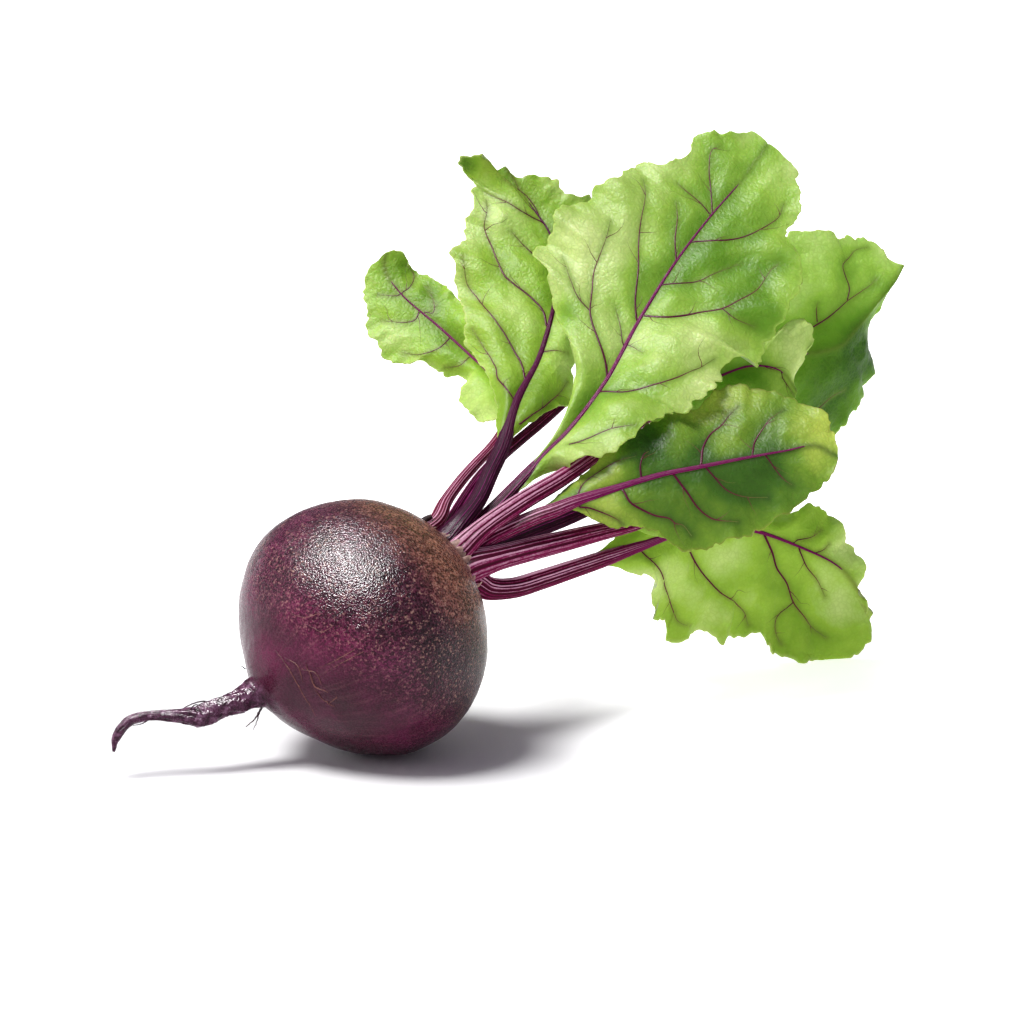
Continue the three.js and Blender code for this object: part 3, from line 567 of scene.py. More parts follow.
direction = unit(points - MIDDLE)
on_tap = np.clip((-(points - MIDDLE) @ AXIS / TAIL_REACH - 0.93) / 0.1, 0, 1)
grown = [0.35 * noise.noise(Vector(p / 9)) + 0.08 * noise.noise(Vector(p / 2.5)) for p in points]
points = points + direction * np.array(grown)[:, None]
points[:, 2] = np.maximum(points[:, 2], 0)
flat = seen(points)
grainy = smooth_step(0.55 * flat[:, 0] + 0.83 * flat[:, 1], -19, 3) * (1 - on_tap)
blush = np.zeros(len(points))
for x, y, radius in BLUSHES:
    blush = np.maximum(blush, np.exp(-(((flat[:, 0] - x) ** 2 + (flat[:, 1] - y) ** 2) / radius**2)))
outward = points - MIDDLE
around = ROOT_RADIUS * np.arctan2(outward @ UPWARDS, -outward @ SIDEWAYS * np.sign(SIDEWAYS @ -FORWARD))
root_piece = piece("root_skin", points, faces, [skin], None, {
    "crown": outward @ AXIS / CROWN_REACH, "high": outward[:, 2] / ROOT_RADIUS, "grain": grainy,
    "blush": blush * (1 - on_tap), "tap": on_tap, "around": around})
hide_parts("root")
print("root:", [round(v) for v in points.min(0)], "to", [round(v) for v in points.max(0)])

# %% [markdown]
# ## What grows on the root
#
# Corky scars lie where the skin was scraped, hair roots come off the tap root, and dry scales of old leaf
# feet ring the crown. A bump in the skin's material could stand for the scars, but real tubes catch the
# light on their edges and throw shadows. Each is a thin tube that tapers towards its end. Dry cork and dry
# fibres hardly shine, and are paler where they are worn.

# %% Tubes and their dry looks
def tube_through(route, radii, normals, sides=8, flat=0.7):
    """Rings of a tube along a route, flattened along the normals."""
    ahead = unit(np.gradient(route, axis=0))
    across = unit(np.cross(ahead, normals))
    normals = flat * np.cross(across, ahead)
    angles = around_circle(sides)
    return [ring_of(p, r, angles, c, n) for p, r, c, n in zip(route, radii, across, normals)]


def many_tubes(name, tubes, look, starts=None):
    """One piece from many tubes, with a value "along" on it that runs from each tube's start to 1."""
    points, faces, along, total = [], [], [], 0
    for rings, start in zip(tubes, starts or [0] * len(tubes)):
        more, sides = closed_tube(rings)
        points.append(more)
        faces += [tuple(k + total for k in f) for f in sides]
        along += [np.repeat(np.linspace(start, 1, len(rings)), len(rings[0])), [start, 1]]
        total += len(more)
    return piece(name, np.vstack(points), faces, [look], None, {"along": np.concatenate(along)})


def dry_look(name, first, second, roughness):
    """Dry plant fibre with flecks of 1.1 mm, in two colours from where it starts to its end."""
    look, tree = new_look(name)
    where = add(tree, "TexCoord", out="Object")
    along = add(tree, "Attribute", out="Fac", attribute_name="along")
    flecks = add(tree, "TexNoise", {"Vector": where, "Scale": 1 / (1.111 * MM), "Detail": 3})
    worn = add(tree, "Math", [flecks, 0.8, add(tree, "Math", [along, 0.35, 0], **SUM)], **SUM)
    tint = add(tree, "ValToRGB", [worn], stops=[(0.3, first), (0.75, second)])
    bump = add(tree, "Bump", {"Height": flecks, "Strength": 0.5, "Distance": 0.4 * MM})
    add(tree, "OutputMaterial", {"Surface": add(tree, "BsdfPrincipled", {
        "Base Color": tint, "Roughness": roughness, "Specular IOR Level": 0.08, "Normal": bump})})
    return look


dry_looks = {
    name: dry_look(name, *colours, roughness)
    for name, *colours, roughness in (
        ("corky_scar", "#3e1c28", "#8a5c54", 0.6), ("hair_root", "#160a12", "#46303a", 0.6),
        ("dry_leaf_foot", "#4c2428", "#b8968a", 0.6), ("old_leaf_foot", "#150c10", "#3a2226", 0.8),
    )
}
print("dry looks:", ", ".join(dry_looks))

# %% [markdown]
# A scar is known by where it is seen on the root, so each of its places is followed along the line of sight
# until it meets the root's body. A random walk of under a tenth of a millimetre at each step makes the
# course as uneven as a real crack.

# %% Where the scars and the hair roots lie
SCARS = [  # radius, and [across, up] places
    (0.22, [(-24.5, -7), (-20, -13), (-15, -21), (-12.5, -26)]),
    (0.16, [(-22, -9), (-18, -12), (-16.5, -17)]),
    (0.26, [(-15.5, -11), (-14, -14.5), (-12.5, -18), (-8, -20)]),
    (0.18, [(-17, -12.5), (-12.5, -14), (-11, -17.5)]),
    (0.14, [(-12, -12.5), (-5, -9.5), (0, -6.5)]),
    (0.14, [(-10, -14), (-4, -11), (2, -8)]),
    (0.2, [(-13, -18.5), (-10.5, -22), (-7, -24)]),
    (0.16, [(-8, -17), (-6, -20.5), (-8.5, -23)]),
    (0.14, [(-20, 4), (-16, 2.5), (-11, 3.5)]),
    (0.12, [(-16, 1), (-10, -1.5), (-7, 0)]),
]
ROOTLETS = [  # radius, and [across, up, back] places
    (0.2, [(-43, -24, -16.5), (-45.5, -22.2, -17), (-50.5, -23.4, -19), (-52.5, -24.6, -18.5)]),
    (0.16, [(-50, -24.8, -18.5), (-48.5, -23.6, -19.5), (-46.5, -24.3, -19)]),
    (0.24, [(-28.5, -24, -15.5), (-30.5, -27, -16.5), (-33.6, -29.6, -17)]),
    (0.16, [(-29, -24.6, -15), (-30, -27.6, -14.5), (-31.2, -30.6, -15)]),
    (0.16, [(-33.5, -19.5, -14), (-36.5, -20.4, -14.5), (-38.5, -20.8, -15)]),
    (0.14, [(-33.6, -12.6, -12), (-34.8, -12, -12.5), (-35.6, -11.7, -13)]),
    (0.16, [(-62, -27.6, -20), (-65, -29.3, -20.4), (-67.5, -29.6, -20.8)]),
    (0.14, [(-27, -23, -16), (-24.5, -25.8, -18), (-22.5, -26.5, -19)]),
]
SIGHT_DEPTHS = np.arange(-44, 6, 0.1)  # from in front of the root to just behind its middle


def onto_root(flat_places):
    """Points of the root's near side that are seen at [across, up] places, and the normals there."""
    found = []
    for x, y in flat_places:
        line = place([(x, y, depth) for depth in SIGHT_DEPTHS])
        apart = line - MIDDLE
        along = apart @ AXIS
        reach = np.where(along > 0, CROWN_REACH, TAIL_REACH)
        power = np.where(along > 0, CROWN_POWER, TAIL_POWER)
        wide = ROOT_RADIUS * np.maximum(0, 1 - (along / reach) ** 2) ** power
        radial = apart - along[:, None] * AXIS + UPWARDS * (SAG * wide / ROOT_RADIUS)[:, None]
        outside = np.linalg.norm(radial, axis=1) - wide
        k = int(np.argmax(outside < 0)) if outside.min() < 0 else int(np.argmin(outside))
        found.append([line[k], unit(radial[k])])
    return np.array(found).swapaxes(0, 1)


print("the root's middle is seen on its skin at", [round(v) for v in onto_root([(0, 0)])[0][0]])

# %% Scars and hair roots
SCAR_STEPS = 40
ROOTLET_STEPS = 30
SCAR_SEED = 5

draw = np.random.default_rng(SCAR_SEED)
scar_tubes = []
for radius, places in SCARS:
    flat_route = course(places)(np.linspace(0, 1, SCAR_STEPS))
    flat_route += np.cumsum(draw.normal(0, 0.06, flat_route.shape), axis=0)
    route, facing = onto_root(flat_route)
    bulge = 0.25 + 0.75 * np.sin(math.pi * np.linspace(0.02, 0.98, SCAR_STEPS))
    radii = radius * bulge * draw.uniform(0.5, 1.2, SCAR_STEPS)
    scar_tubes.append(tube_through(route + facing * (0.25 + 0.1 * radii[:, None]), radii, facing, flat=0.5))
scars = many_tubes("scars", scar_tubes, dry_looks["corky_scar"])

rootlet_tubes = []
for radius, places in ROOTLETS:
    walk = np.cumsum(draw.normal(0, 0.05, (ROOTLET_STEPS, 3)), axis=0)
    route = course(place(places))(np.linspace(0, 1, ROOTLET_STEPS)) + walk
    radii = radius * np.linspace(1.5, 0.5, ROOTLET_STEPS)
    rootlet_tubes.append(tube_through(route, radii, np.tile(-FORWARD, (ROOTLET_STEPS, 1)), flat=1))
rootlets = many_tubes("hair_roots", rootlet_tubes, dry_looks["hair_root"])
print("scars:", len(SCARS), "hair roots:", len(ROOTLETS))

# %% [markdown]
# The crown is where leaves have come off. Their dry feet are thin scales that stand up in a ring, some bent
# in and some out, and one older stalk has left a dark stump. A ring of copies would look like a gear, so
# each scale draws its own place, length, lean and width.

# %% Scales of the crown
SCALES = 34
SCALE_RING = 10.5
SCALE_STEPS = 14
STUMP = [[18.9, 30.9, 9], [20.6, 32.4, 9], [22.4, 33.4, 9]]
STUMP_STEPS = 12

scale_tubes = []
for k in range(SCALES):
    turn = 2 * math.pi * (k + draw.uniform(-0.3, 0.3)) / SCALES
    side = math.cos(turn) * SIDEWAYS + math.sin(turn) * UPWARDS
    reach = SCALE_RING + draw.uniform(-1.5, 1.5)
    along = CROWN_REACH * math.sqrt(1 - (reach / ROOT_RADIUS) ** 2)
    foot = MIDDLE + AXIS * (along - 0.7) + side * reach - UPWARDS * SAG * reach / ROOT_RADIUS
    tip = foot + AXIS * draw.uniform(1.0, 3.4) + side * draw.uniform(-1.2, 0.9)
    bend = (foot + tip) / 2 + side * draw.uniform(0.1, 0.6)
    route = course([foot, bend, tip])(np.linspace(0, 1, SCALE_STEPS))
    radii = draw.uniform(0.5, 1.5) * (1 - np.linspace(0, 0.97, SCALE_STEPS) ** 2) ** 0.6
    scale_tubes.append(tube_through(route, radii, np.tile(side, (SCALE_STEPS, 1)), sides=12, flat=0.22))
scales = many_tubes("crown_scales", scale_tubes, dry_looks["dry_leaf_foot"])
stump_route = course(place(STUMP))(np.linspace(0, 1, STUMP_STEPS))
stump_radii = 1.5 * np.linspace(1, 0.5, STUMP_STEPS)
stump_tube = tube_through(stump_route, stump_radii, np.tile(UP, (STUMP_STEPS, 1)), flat=0.8)
stump = many_tubes("old_leaf_scar", [stump_tube], dry_looks["old_leaf_foot"])
for made in (scars, rootlets, scales, stump):
    print(made.name, len(made.data.polygons), "faces")

# %% [markdown]
# ## The plan of the leaves
#
# Each leaf is written down by a few places: its stalk from the crown to the blade's foot, its rib from
# there to the tip, and the blade's edge to the left and to the right of the rib. These are the same named
# values that the solids are built from, so a finer leaf keeps the solid's form.
#
# "wide" and "rib_wide" are how wide the stalk is at the crown and the rib at the blade's foot. "dome" is how
# far the blade bulges on either side of its rib, and "ripple" and "waves" are the height and the number of
# the waves along its edge. The right leaf is folded so that its rib hides behind the blade: "hide_rib" moves
# the rib back by so much, and "under" makes its second face as green as the first.

# %% Nine leaves
LEAVES = {
    "far_left": dict(
        wide=5, rib_wide=2.6, dome=2, ripple=1, waves=4, petiole="bright", blade="young",
        stalk=[[23.7, 31.5, 12], [26.4, 37.2, 17], [30.9, 43.5, 24], [35.4, 48.6, 32], [39.9, 53.4, 41],
            [43.8, 59.1, 52], [45.6, 64.5, 62]],
        rib=[[43.8, 70.5, 72], [39.9, 75.9, 80], [35.4, 80.1, 85], [24.9, 89.7, 91], [12.9, 100.2, 96],
            [8.4, 107.1, 98], [8.4, 112.2, 98]],
        left=[[44.5, 61, 62], [41.4, 61.2, 66], [38.4, 61.5, 69.5], [35.4, 62.7, 72], [32.7, 65.1, 75],
            [31.2, 68.1, 77.5], [30.9, 71.1, 80], [32.7, 72.6, 81.5], [33.9, 74.4, 83.5],
            [30.9, 75.9, 84.5], [27, 75.9, 85.5], [22.8, 77.7, 86.5], [19.5, 79.5, 87.5],
            [15.9, 79.2, 88], [12, 78.9, 89.5], [9.3, 80.1, 90.5], [6.9, 83.7, 91.5], [4.8, 86.7, 92.5],
            [2.7, 89.1, 94], [3.6, 93, 95], [3, 96.6, 95.5], [2.4, 100.5, 96.5], [3, 104.7, 97.5],
            [4.5, 108, 98], [6.3, 110.1, 98], [8.4, 112.2, 98]],
        right=[[47.5, 66, 62], [45.3, 74.1, 76], [42, 83, 83], [30.6, 97.2, 94.5], [27.9, 100.2, 96],
            [24.9, 103.2, 98], [20.4, 105.6, 99.5], [17.1, 107.7, 100], [15.9, 109.5, 100],
            [14.1, 112.5, 99.5], [10.5, 112.8, 98.5], [8.4, 112.2, 98]]),
    "rear": dict(
        wide=4.4, rib_wide=2.8, dome=3, ripple=1.6, waves=5, petiole="crimson", blade="olive",
        stalk=[[26.7, 28.8, 18], [30.9, 36, 28], [36.9, 44.7, 40], [42.9, 51, 50], [47.7, 55.2, 57],
            [57.3, 63.3, 70], [66.9, 72.6, 84], [72.9, 80.7, 93]],
        rib=[[78.9, 89.7, 100], [85.5, 101.1, 107], [91.5, 113.7, 112], [96.9, 124.5, 115],
            [99.9, 132.6, 117]],
        left=[[71.4, 82.5, 94], [69.9, 92.1, 103], [69.3, 102.6, 109], [72.9, 114.6, 114],
            [80.4, 125.1, 118], [89.4, 131.1, 119], [99.9, 132.6, 117]],
        right=[[76, 81, 92], [84.9, 84.6, 96], [96.9, 90.6, 100], [104.4, 101.1, 104],
            [105.9, 113.1, 108], [104.4, 125.1, 113], [99.9, 132.6, 117]]),
    "left": dict(
        wide=6, rib_wide=4.4, dome=3, ripple=1.6, waves=6, petiole="plum", blade="young",
        stalk=[[27, 26.4, 9], [31.2, 31.5, 11], [36, 37.9, 17], [40.2, 46.8, 26], [43.5, 53.8, 33]],
        rib=[[47.7, 67.5, 45], [54.3, 80.1, 57], [59.1, 97.2, 70], [59.7, 107.7, 77], [57.9, 117.6, 81],
            [51.9, 126.6, 84], [44.4, 138.3, 85]],
        left=[[40.8, 54.3, 34], [41.4, 59.1, 38.5], [42.3, 64.5, 44], [42, 68.1, 47], [40.5, 71.7, 50.5],
            [38.1, 75.6, 54], [36, 79.5, 57], [33.3, 84.6, 60.5], [31.8, 90.6, 64], [31.2, 95.1, 66.5],
            [30.6, 99.6, 69], [29.4, 104.7, 71.5], [27.6, 109.5, 74.5], [27, 111, 75], [29.1, 112.8, 76],
            [30.9, 114.3, 77], [32.1, 116.7, 78], [32.4, 120.6, 79.5], [33, 123.6, 80.5],
            [34.5, 124.5, 81], [34.8, 128.1, 82.5], [34.2, 131.1, 83], [35.4, 132.9, 83],
            [34.2, 134.7, 82.5], [32.4, 137.1, 82.5], [30, 139.8, 82], [31.8, 140.7, 81.5],
            [37.2, 140.7, 81], [36.9, 138.3, 82], [36, 136.2, 82.5], [37.8, 135.6, 83],
            [39.9, 136.8, 83.5], [42.3, 137.1, 84], [44.4, 138.3, 85]],
        right=[[45.9, 54, 34.5], [48.9, 58.2, 40], [53.4, 61.2, 45], [57.3, 63.3, 49.5],
            [60.9, 65.4, 53], [63.9, 66.9, 55], [64.8, 70.5, 57.5], [64.2, 74.1, 60.5], [63.9, 77.7, 64],
            [65.1, 80.7, 67], [66, 86.1, 72], [69.9, 98.1, 80], [72.9, 111.6, 86], [71.5, 121, 88],
            [69.9, 129.3, 88], [66.9, 128.7, 88], [63.9, 129, 88], [60.9, 130.5, 88], [60, 133.8, 88],
            [56.4, 135, 88], [51.9, 135.6, 87], [48.9, 134.4, 86.5], [46.5, 135.3, 86],
            [44.4, 138.3, 85]]),
    "tall": dict(
        wide=5.4, rib_wide=3, dome=3, ripple=1.5, waves=8, petiole="crimson", blade="full",
        stalk=[[31.2, 25.2, 14], [36.9, 31.2, 18], [42.9, 37.2, 22], [48.3, 43, 25.5]],
        rib=[[54.9, 49.9, 29.5], [63, 58.2, 34], [73.8, 72.3, 41], [84.9, 92.4, 52], [95.4, 109.2, 61],
            [105.9, 123, 69], [115.5, 134.1, 76], [123.3, 144.9, 82]],
        left=[[48.2, 46.8, 28], [52.8, 49.2, 29.5], [56.4, 52.5, 32], [58.8, 54.6, 33.5],
            [61.5, 58.5, 35.5], [63.3, 63.6, 37.5], [64.8, 69.6, 40.5], [65.7, 75.6, 43.5],
            [65.4, 80.1, 45.5], [63.9, 84.6, 47.5], [61.5, 89.1, 49.5], [60, 93.6, 51.5],
            [58.8, 98.1, 53], [56.4, 106.5, 56], [54, 109.5, 57.5], [52.8, 111.6, 58],
            [54.9, 114.6, 59.5], [58.2, 116.7, 60.5], [59.4, 119.7, 61.5], [58.8, 122.4, 62],
            [60.9, 124.5, 62.5], [63.9, 126.6, 63.5], [66.9, 127.5, 64.5], [69.9, 128.7, 65.5],
            [70.5, 131.4, 66.5], [74.4, 132, 67.5], [77.1, 133.2, 68.5], [78.9, 135, 69.5],
            [80.4, 137.1, 70], [84, 138.3, 71.5], [86.4, 139.8, 72.5], [88.2, 138.6, 73],
            [92.4, 138.6, 74], [96.9, 140.1, 75.5], [99.9, 143.7, 77], [102, 147, 78],
            [104.4, 148.5, 79], [108.9, 147.3, 80.5], [113.4, 147.6, 82], [116.1, 147.9, 82.5],
            [118.2, 148.8, 83], [120.9, 147.3, 82.5], [123.3, 145.2, 82]],
        right=[[52.5, 41.6, 24.5], [56.4, 45.2, 27], [60.9, 48.9, 26.6], [65.4, 49.5, 22],
            [69.3, 51, 20.5], [72.9, 50.7, 22], [75.9, 51.9, 23.5], [80.4, 54.6, 26], [84.9, 58.2, 28],
            [87.9, 61.2, 29], [91.5, 63, 31], [94.5, 64.5, 35], [97.5, 64.2, 35.5], [99.9, 65.7, 37],
            [101.7, 67.5, 38], [104.4, 68.1, 39.5], [106.5, 70.5, 41], [107.7, 73.5, 42.5],
            [110.1, 75.6, 43.5], [109.8, 78, 44.5], [111.9, 80.1, 46], [114.9, 80.7, 47.5],
            [117.9, 79.5, 49], [120, 78.3, 50], [121.8, 81, 51], [122.4, 85.8, 53.5],
            [125.4, 88.5, 55.5], [127.8, 91.5, 57.5], [129.9, 95.7, 60], [132.6, 99.6, 62],
            [132.6, 105.6, 65.5], [131.7, 111.6, 68], [129.9, 114.9, 69.5], [128.1, 116.7, 70.5],
            [129.3, 119.7, 72], [131.7, 122.1, 74], [132.9, 125.4, 76], [132.3, 129.9, 78],
            [130.8, 132.9, 79.5], [131.4, 136.5, 80.5], [129.9, 139.5, 81], [126.9, 142.5, 82],
            [123.3, 145.2, 82]]),
    "middle": dict(
        wide=6.4, rib_wide=3, dome=2, ripple=1, waves=4, petiole="pale", blade="full",
        stalk=[[30, 22.2, 5], [36.9, 28.8, 8], [48.9, 37.2, 15.5], [60.9, 44.4, 25], [70.5, 51, 33.5],
            [78, 56.4, 39], [85.5, 61.8, 48]],
        rib=[[96, 68.5, 58], [107, 74.5, 65], [118, 78.3, 71], [126.9, 76.8, 76], [132, 70.5, 80]],
        left=[[84, 65, 50], [92.4, 73.5, 58], [102.9, 83, 65], [114.9, 88.5, 70], [123.3, 87, 73],
            [127.8, 90, 75], [131.4, 92.1, 77], [134.4, 91.8, 79], [135.9, 89.4, 81], [135.9, 86.1, 82],
            [134.4, 83.1, 82], [132.3, 78.6, 82], [130.8, 75.6, 82], [132, 70.5, 80]],
        right=[[88, 60.5, 52], [97, 61, 58], [107, 62.5, 63], [116, 63.5, 68], [124, 65.5, 73],
            [129.9, 68.1, 77], [132, 70.5, 80]]),
    "front": dict(
        wide=5.4, rib_wide=4, dome=2, ripple=0.8, waves=5, petiole="pale", blade="olive",
        stalk=[[32.4, 21.3, 11.5], [38.4, 25.8, 13], [45.9, 29.7, 15], [54.9, 33.6, 17],
            [58.5, 34.8, 18]],
        rib=[[66.9, 38.1, 21], [78.9, 42, 25], [90.9, 45.6, 29], [102.9, 48, 32], [114.9, 50.4, 35],
            [128.4, 52.8, 38], [137.4, 54.3, 40], [144.3, 51, 41]],
        left=[[55.5, 37.2, 22.5], [58.5, 39, 24], [62.4, 41.4, 26], [65.7, 43.5, 26.5], [68.4, 46.2, 27],
            [71.4, 49.2, 28.5], [75.9, 53.1, 31], [81.9, 57.3, 34.5], [88.5, 61.2, 38.5],
            [94.5, 64.2, 41], [99.9, 65.7, 44], [102.9, 66.6, 45.5], [105, 67.8, 47], [106.5, 70.2, 49],
            [109.5, 71.7, 49.5], [113.4, 72.6, 50], [116.4, 72.6, 50], [118.8, 71.1, 50.5],
            [121.8, 70.5, 51], [125.4, 70.2, 51], [128.1, 68.7, 50.5], [131.4, 68.1, 50],
            [134.1, 65.7, 49], [137.4, 64.8, 48], [140.4, 63, 47], [142.5, 59.1, 44.5], [144, 54.6, 42],
            [144.3, 51, 41]],
        right=[[60.9, 33.6, 19.5], [64.5, 34.8, 20.5], [66.9, 34.2, 21], [69.9, 33, 22],
            [72.9, 31.5, 23], [75.9, 29.7, 24], [78.9, 29.1, 25], [83.4, 29.7, 26], [87.9, 29.1, 27.5],
            [90.3, 28.2, 28.5], [91.8, 25.8, 29.5], [93.9, 24.3, 30.5], [96.9, 23.4, 31.5],
            [99.9, 23.1, 32.5], [102.9, 23.4, 33.5], [107.4, 24.3, 34.5], [111.9, 25.5, 36],
            [116.4, 27, 37], [119.7, 29.1, 38], [123.3, 30.6, 38.5], [126.9, 33, 39],
            [129.9, 34.8, 39.5], [132.9, 36.9, 40], [135.9, 39, 40.5], [138.9, 41.7, 41],
            [141, 44.4, 41], [143.1, 47.1, 41], [144.3, 51, 41]]),
    "right": dict(
        wide=4.8, rib_wide=3.2, dome=2, ripple=1.2, waves=6, petiole="plum", blade="full", under="full",
        hide_rib=1.4,
        stalk=[[31.5, 20.7, 19], [42.9, 24.6, 25], [51.9, 28.2, 31], [66.6, 34.2, 42], [87.9, 45.6, 60],
            [105, 59, 78], [114.9, 67.5, 86]],
        rib=[[122.4, 75, 93], [133.2, 81.6, 101], [140.4, 82.8, 106], [145.5, 84.6, 109],
            [150.3, 90, 112], [155.4, 96.3, 114.5], [161.4, 103.5, 117.5], [164.1, 108.6, 119]],
        left=[[112.5, 69.5, 88], [107.4, 83.1, 97], [113.4, 98.1, 105], [123.9, 110.7, 110],
            [127.8, 116.1, 112], [131.4, 119.1, 113], [134.4, 118.8, 114], [136.8, 119.1, 115],
            [139.5, 119.4, 115.5], [142.2, 118.2, 116], [143.7, 116.7, 116], [147.9, 116.7, 117],
            [152.4, 116.1, 118], [156, 114.9, 118.5], [158.4, 113.1, 118.5], [159.9, 110.7, 119],
            [161.7, 109.2, 119], [164.1, 108.6, 119]],
        right=[[117, 65.5, 89], [122.4, 61, 100], [132.9, 56.7, 113], [140.4, 56.4, 121],
            [144.9, 58.8, 126], [147.9, 64.5, 130], [151.2, 70.2, 133], [150.6, 72.6, 134],
            [153, 77.1, 136], [152.7, 82.5, 136], [152.4, 87.6, 134], [153.3, 93.6, 130],
            [158.1, 99.6, 125], [164.1, 108.6, 119]]),
    "inner": dict(
        wide=8, rib_wide=4, dome=2, ripple=1.2, waves=6, petiole="pale", blade="full",
        stalk=[[33.3, 18, 7], [39.9, 20.1, 10], [48.9, 22.5, 17], [60.9, 25.5, 26], [72.9, 28.5, 35],
            [82, 30.6, 41]],
        rib=[[92.4, 33.6, 48], [102.9, 38.1, 54], [114.9, 44.1, 60], [126, 50.7, 64], [136.5, 57, 67]],
        left=[[81, 33.6, 42.5], [87, 42.6, 48], [95.4, 51.6, 52], [104.4, 58.5, 55.5], [114.9, 63, 58],
            [125.4, 63.9, 61], [132.9, 61.5, 65], [136.5, 57, 67]],
        right=[[84, 28, 42], [91.5, 26.7, 45], [102, 26.4, 50], [113.4, 29.4, 56], [124.5, 35.4, 61],
            [133.5, 43.5, 65], [137.4, 51, 67], [136.5, 57, 67]]),
    "low": dict(
        wide=6.8, rib_wide=4.6, dome=3, ripple=1.5, waves=8, petiole="pale", blade="young",
        stalk=[[34.5, 14.1, 14], [39.3, 11.7, 17], [46.5, 11.7, 22], [54.9, 14.1, 30], [63.9, 17.1, 38],
            [72.9, 20.1, 46]],
        rib=[[84.9, 24.3, 57], [95.4, 27.9, 67], [107.4, 30, 78], [118.2, 29.1, 87], [131.4, 24.6, 96],
            [144.9, 17.7, 104], [152.4, 8.4, 110]],
        left=[[71.5, 24, 49], [84.9, 32.1, 64], [96.9, 36.6, 78], [108.9, 38.1, 88], [120.9, 35.7, 94],
            [128.4, 33.9, 98.5], [132.9, 36.3, 101], [135, 37.5, 102.5], [137.4, 36.6, 104],
            [140.4, 34.5, 105.5], [143.4, 31.5, 107], [145.8, 29.1, 108], [146.4, 26.1, 109],
            [148.5, 23.7, 109.5], [150.9, 20.1, 110], [151.5, 15.6, 110], [150.3, 11.7, 110],
            [149.7, 9.9, 110], [153, 8.4, 110]],
        right=[[75.9, 17.1, 50], [78.9, 16.2, 54], [81.3, 15.6, 57.5], [84.9, 15, 62], [87.3, 13.2, 65],
            [87.9, 10.2, 69], [88.8, 6.6, 74], [89.4, 4.5, 76.5], [87.9, 1.8, 79.5], [90.9, 2.1, 82],
            [93.3, 2.1, 84], [94.2, -0.9, 86.5], [92.7, -4.5, 89.5], [97.2, -4.5, 91.5],
            [99.9, -2.4, 93], [102.9, -0.6, 94.5], [105, -2.1, 96], [106.5, -4.2, 98], [108.6, -4.8, 99],
            [111, -2.1, 100], [113.4, -3, 101], [116.4, -3.3, 102], [118.2, -1.8, 103],
            [120.6, -2.7, 104.5], [121.8, -5.4, 107.5], [123.9, -7.5, 110.5], [126.9, -9, 112.5],
            [129.9, -8.7, 113.5], [132.3, -11.1, 115], [134.4, -10.2, 115.5], [136.5, -10.8, 116.5],
            [141.9, -10.8, 118], [146.4, -9.9, 118], [149.7, -8.1, 118], [152.7, -4.5, 117.5],
            [154.5, -1.2, 117], [153, 0.9, 116], [153.6, 4.5, 114], [153, 8.4, 110]]),
}
print("leaves:", len(LEAVES))

# %% [markdown]
# ## Where the veins run
#
# The main veins leave the rib by turns to either side, fork once or twice and run out before the edge. No
# rule gives their bends, so each is drawn through a few places where someone in front sees it, and is laid
# onto the blade later. The first number is its radius where it starts. The patches of lighter and deeper
# green are noted in the same steps of the picture; some are the leaf's own, and some are painted shadow,
# painted shade on folds that face away, or painted sheen.

# %% Veins
PICTURE_STEP = PICTURE_WIDTH / 1024
MIDDLE_COLUMN, MIDDLE_ROW = 357, 627  # where the root's middle is seen, in steps from the top left


def px(pairs):
    """Places in the picture's own 1024 steps, turned into [across, up] millimetres."""
    return [((x - MIDDLE_COLUMN) * PICTURE_STEP, (MIDDLE_ROW - y) * PICTURE_STEP) for x, y in pairs]


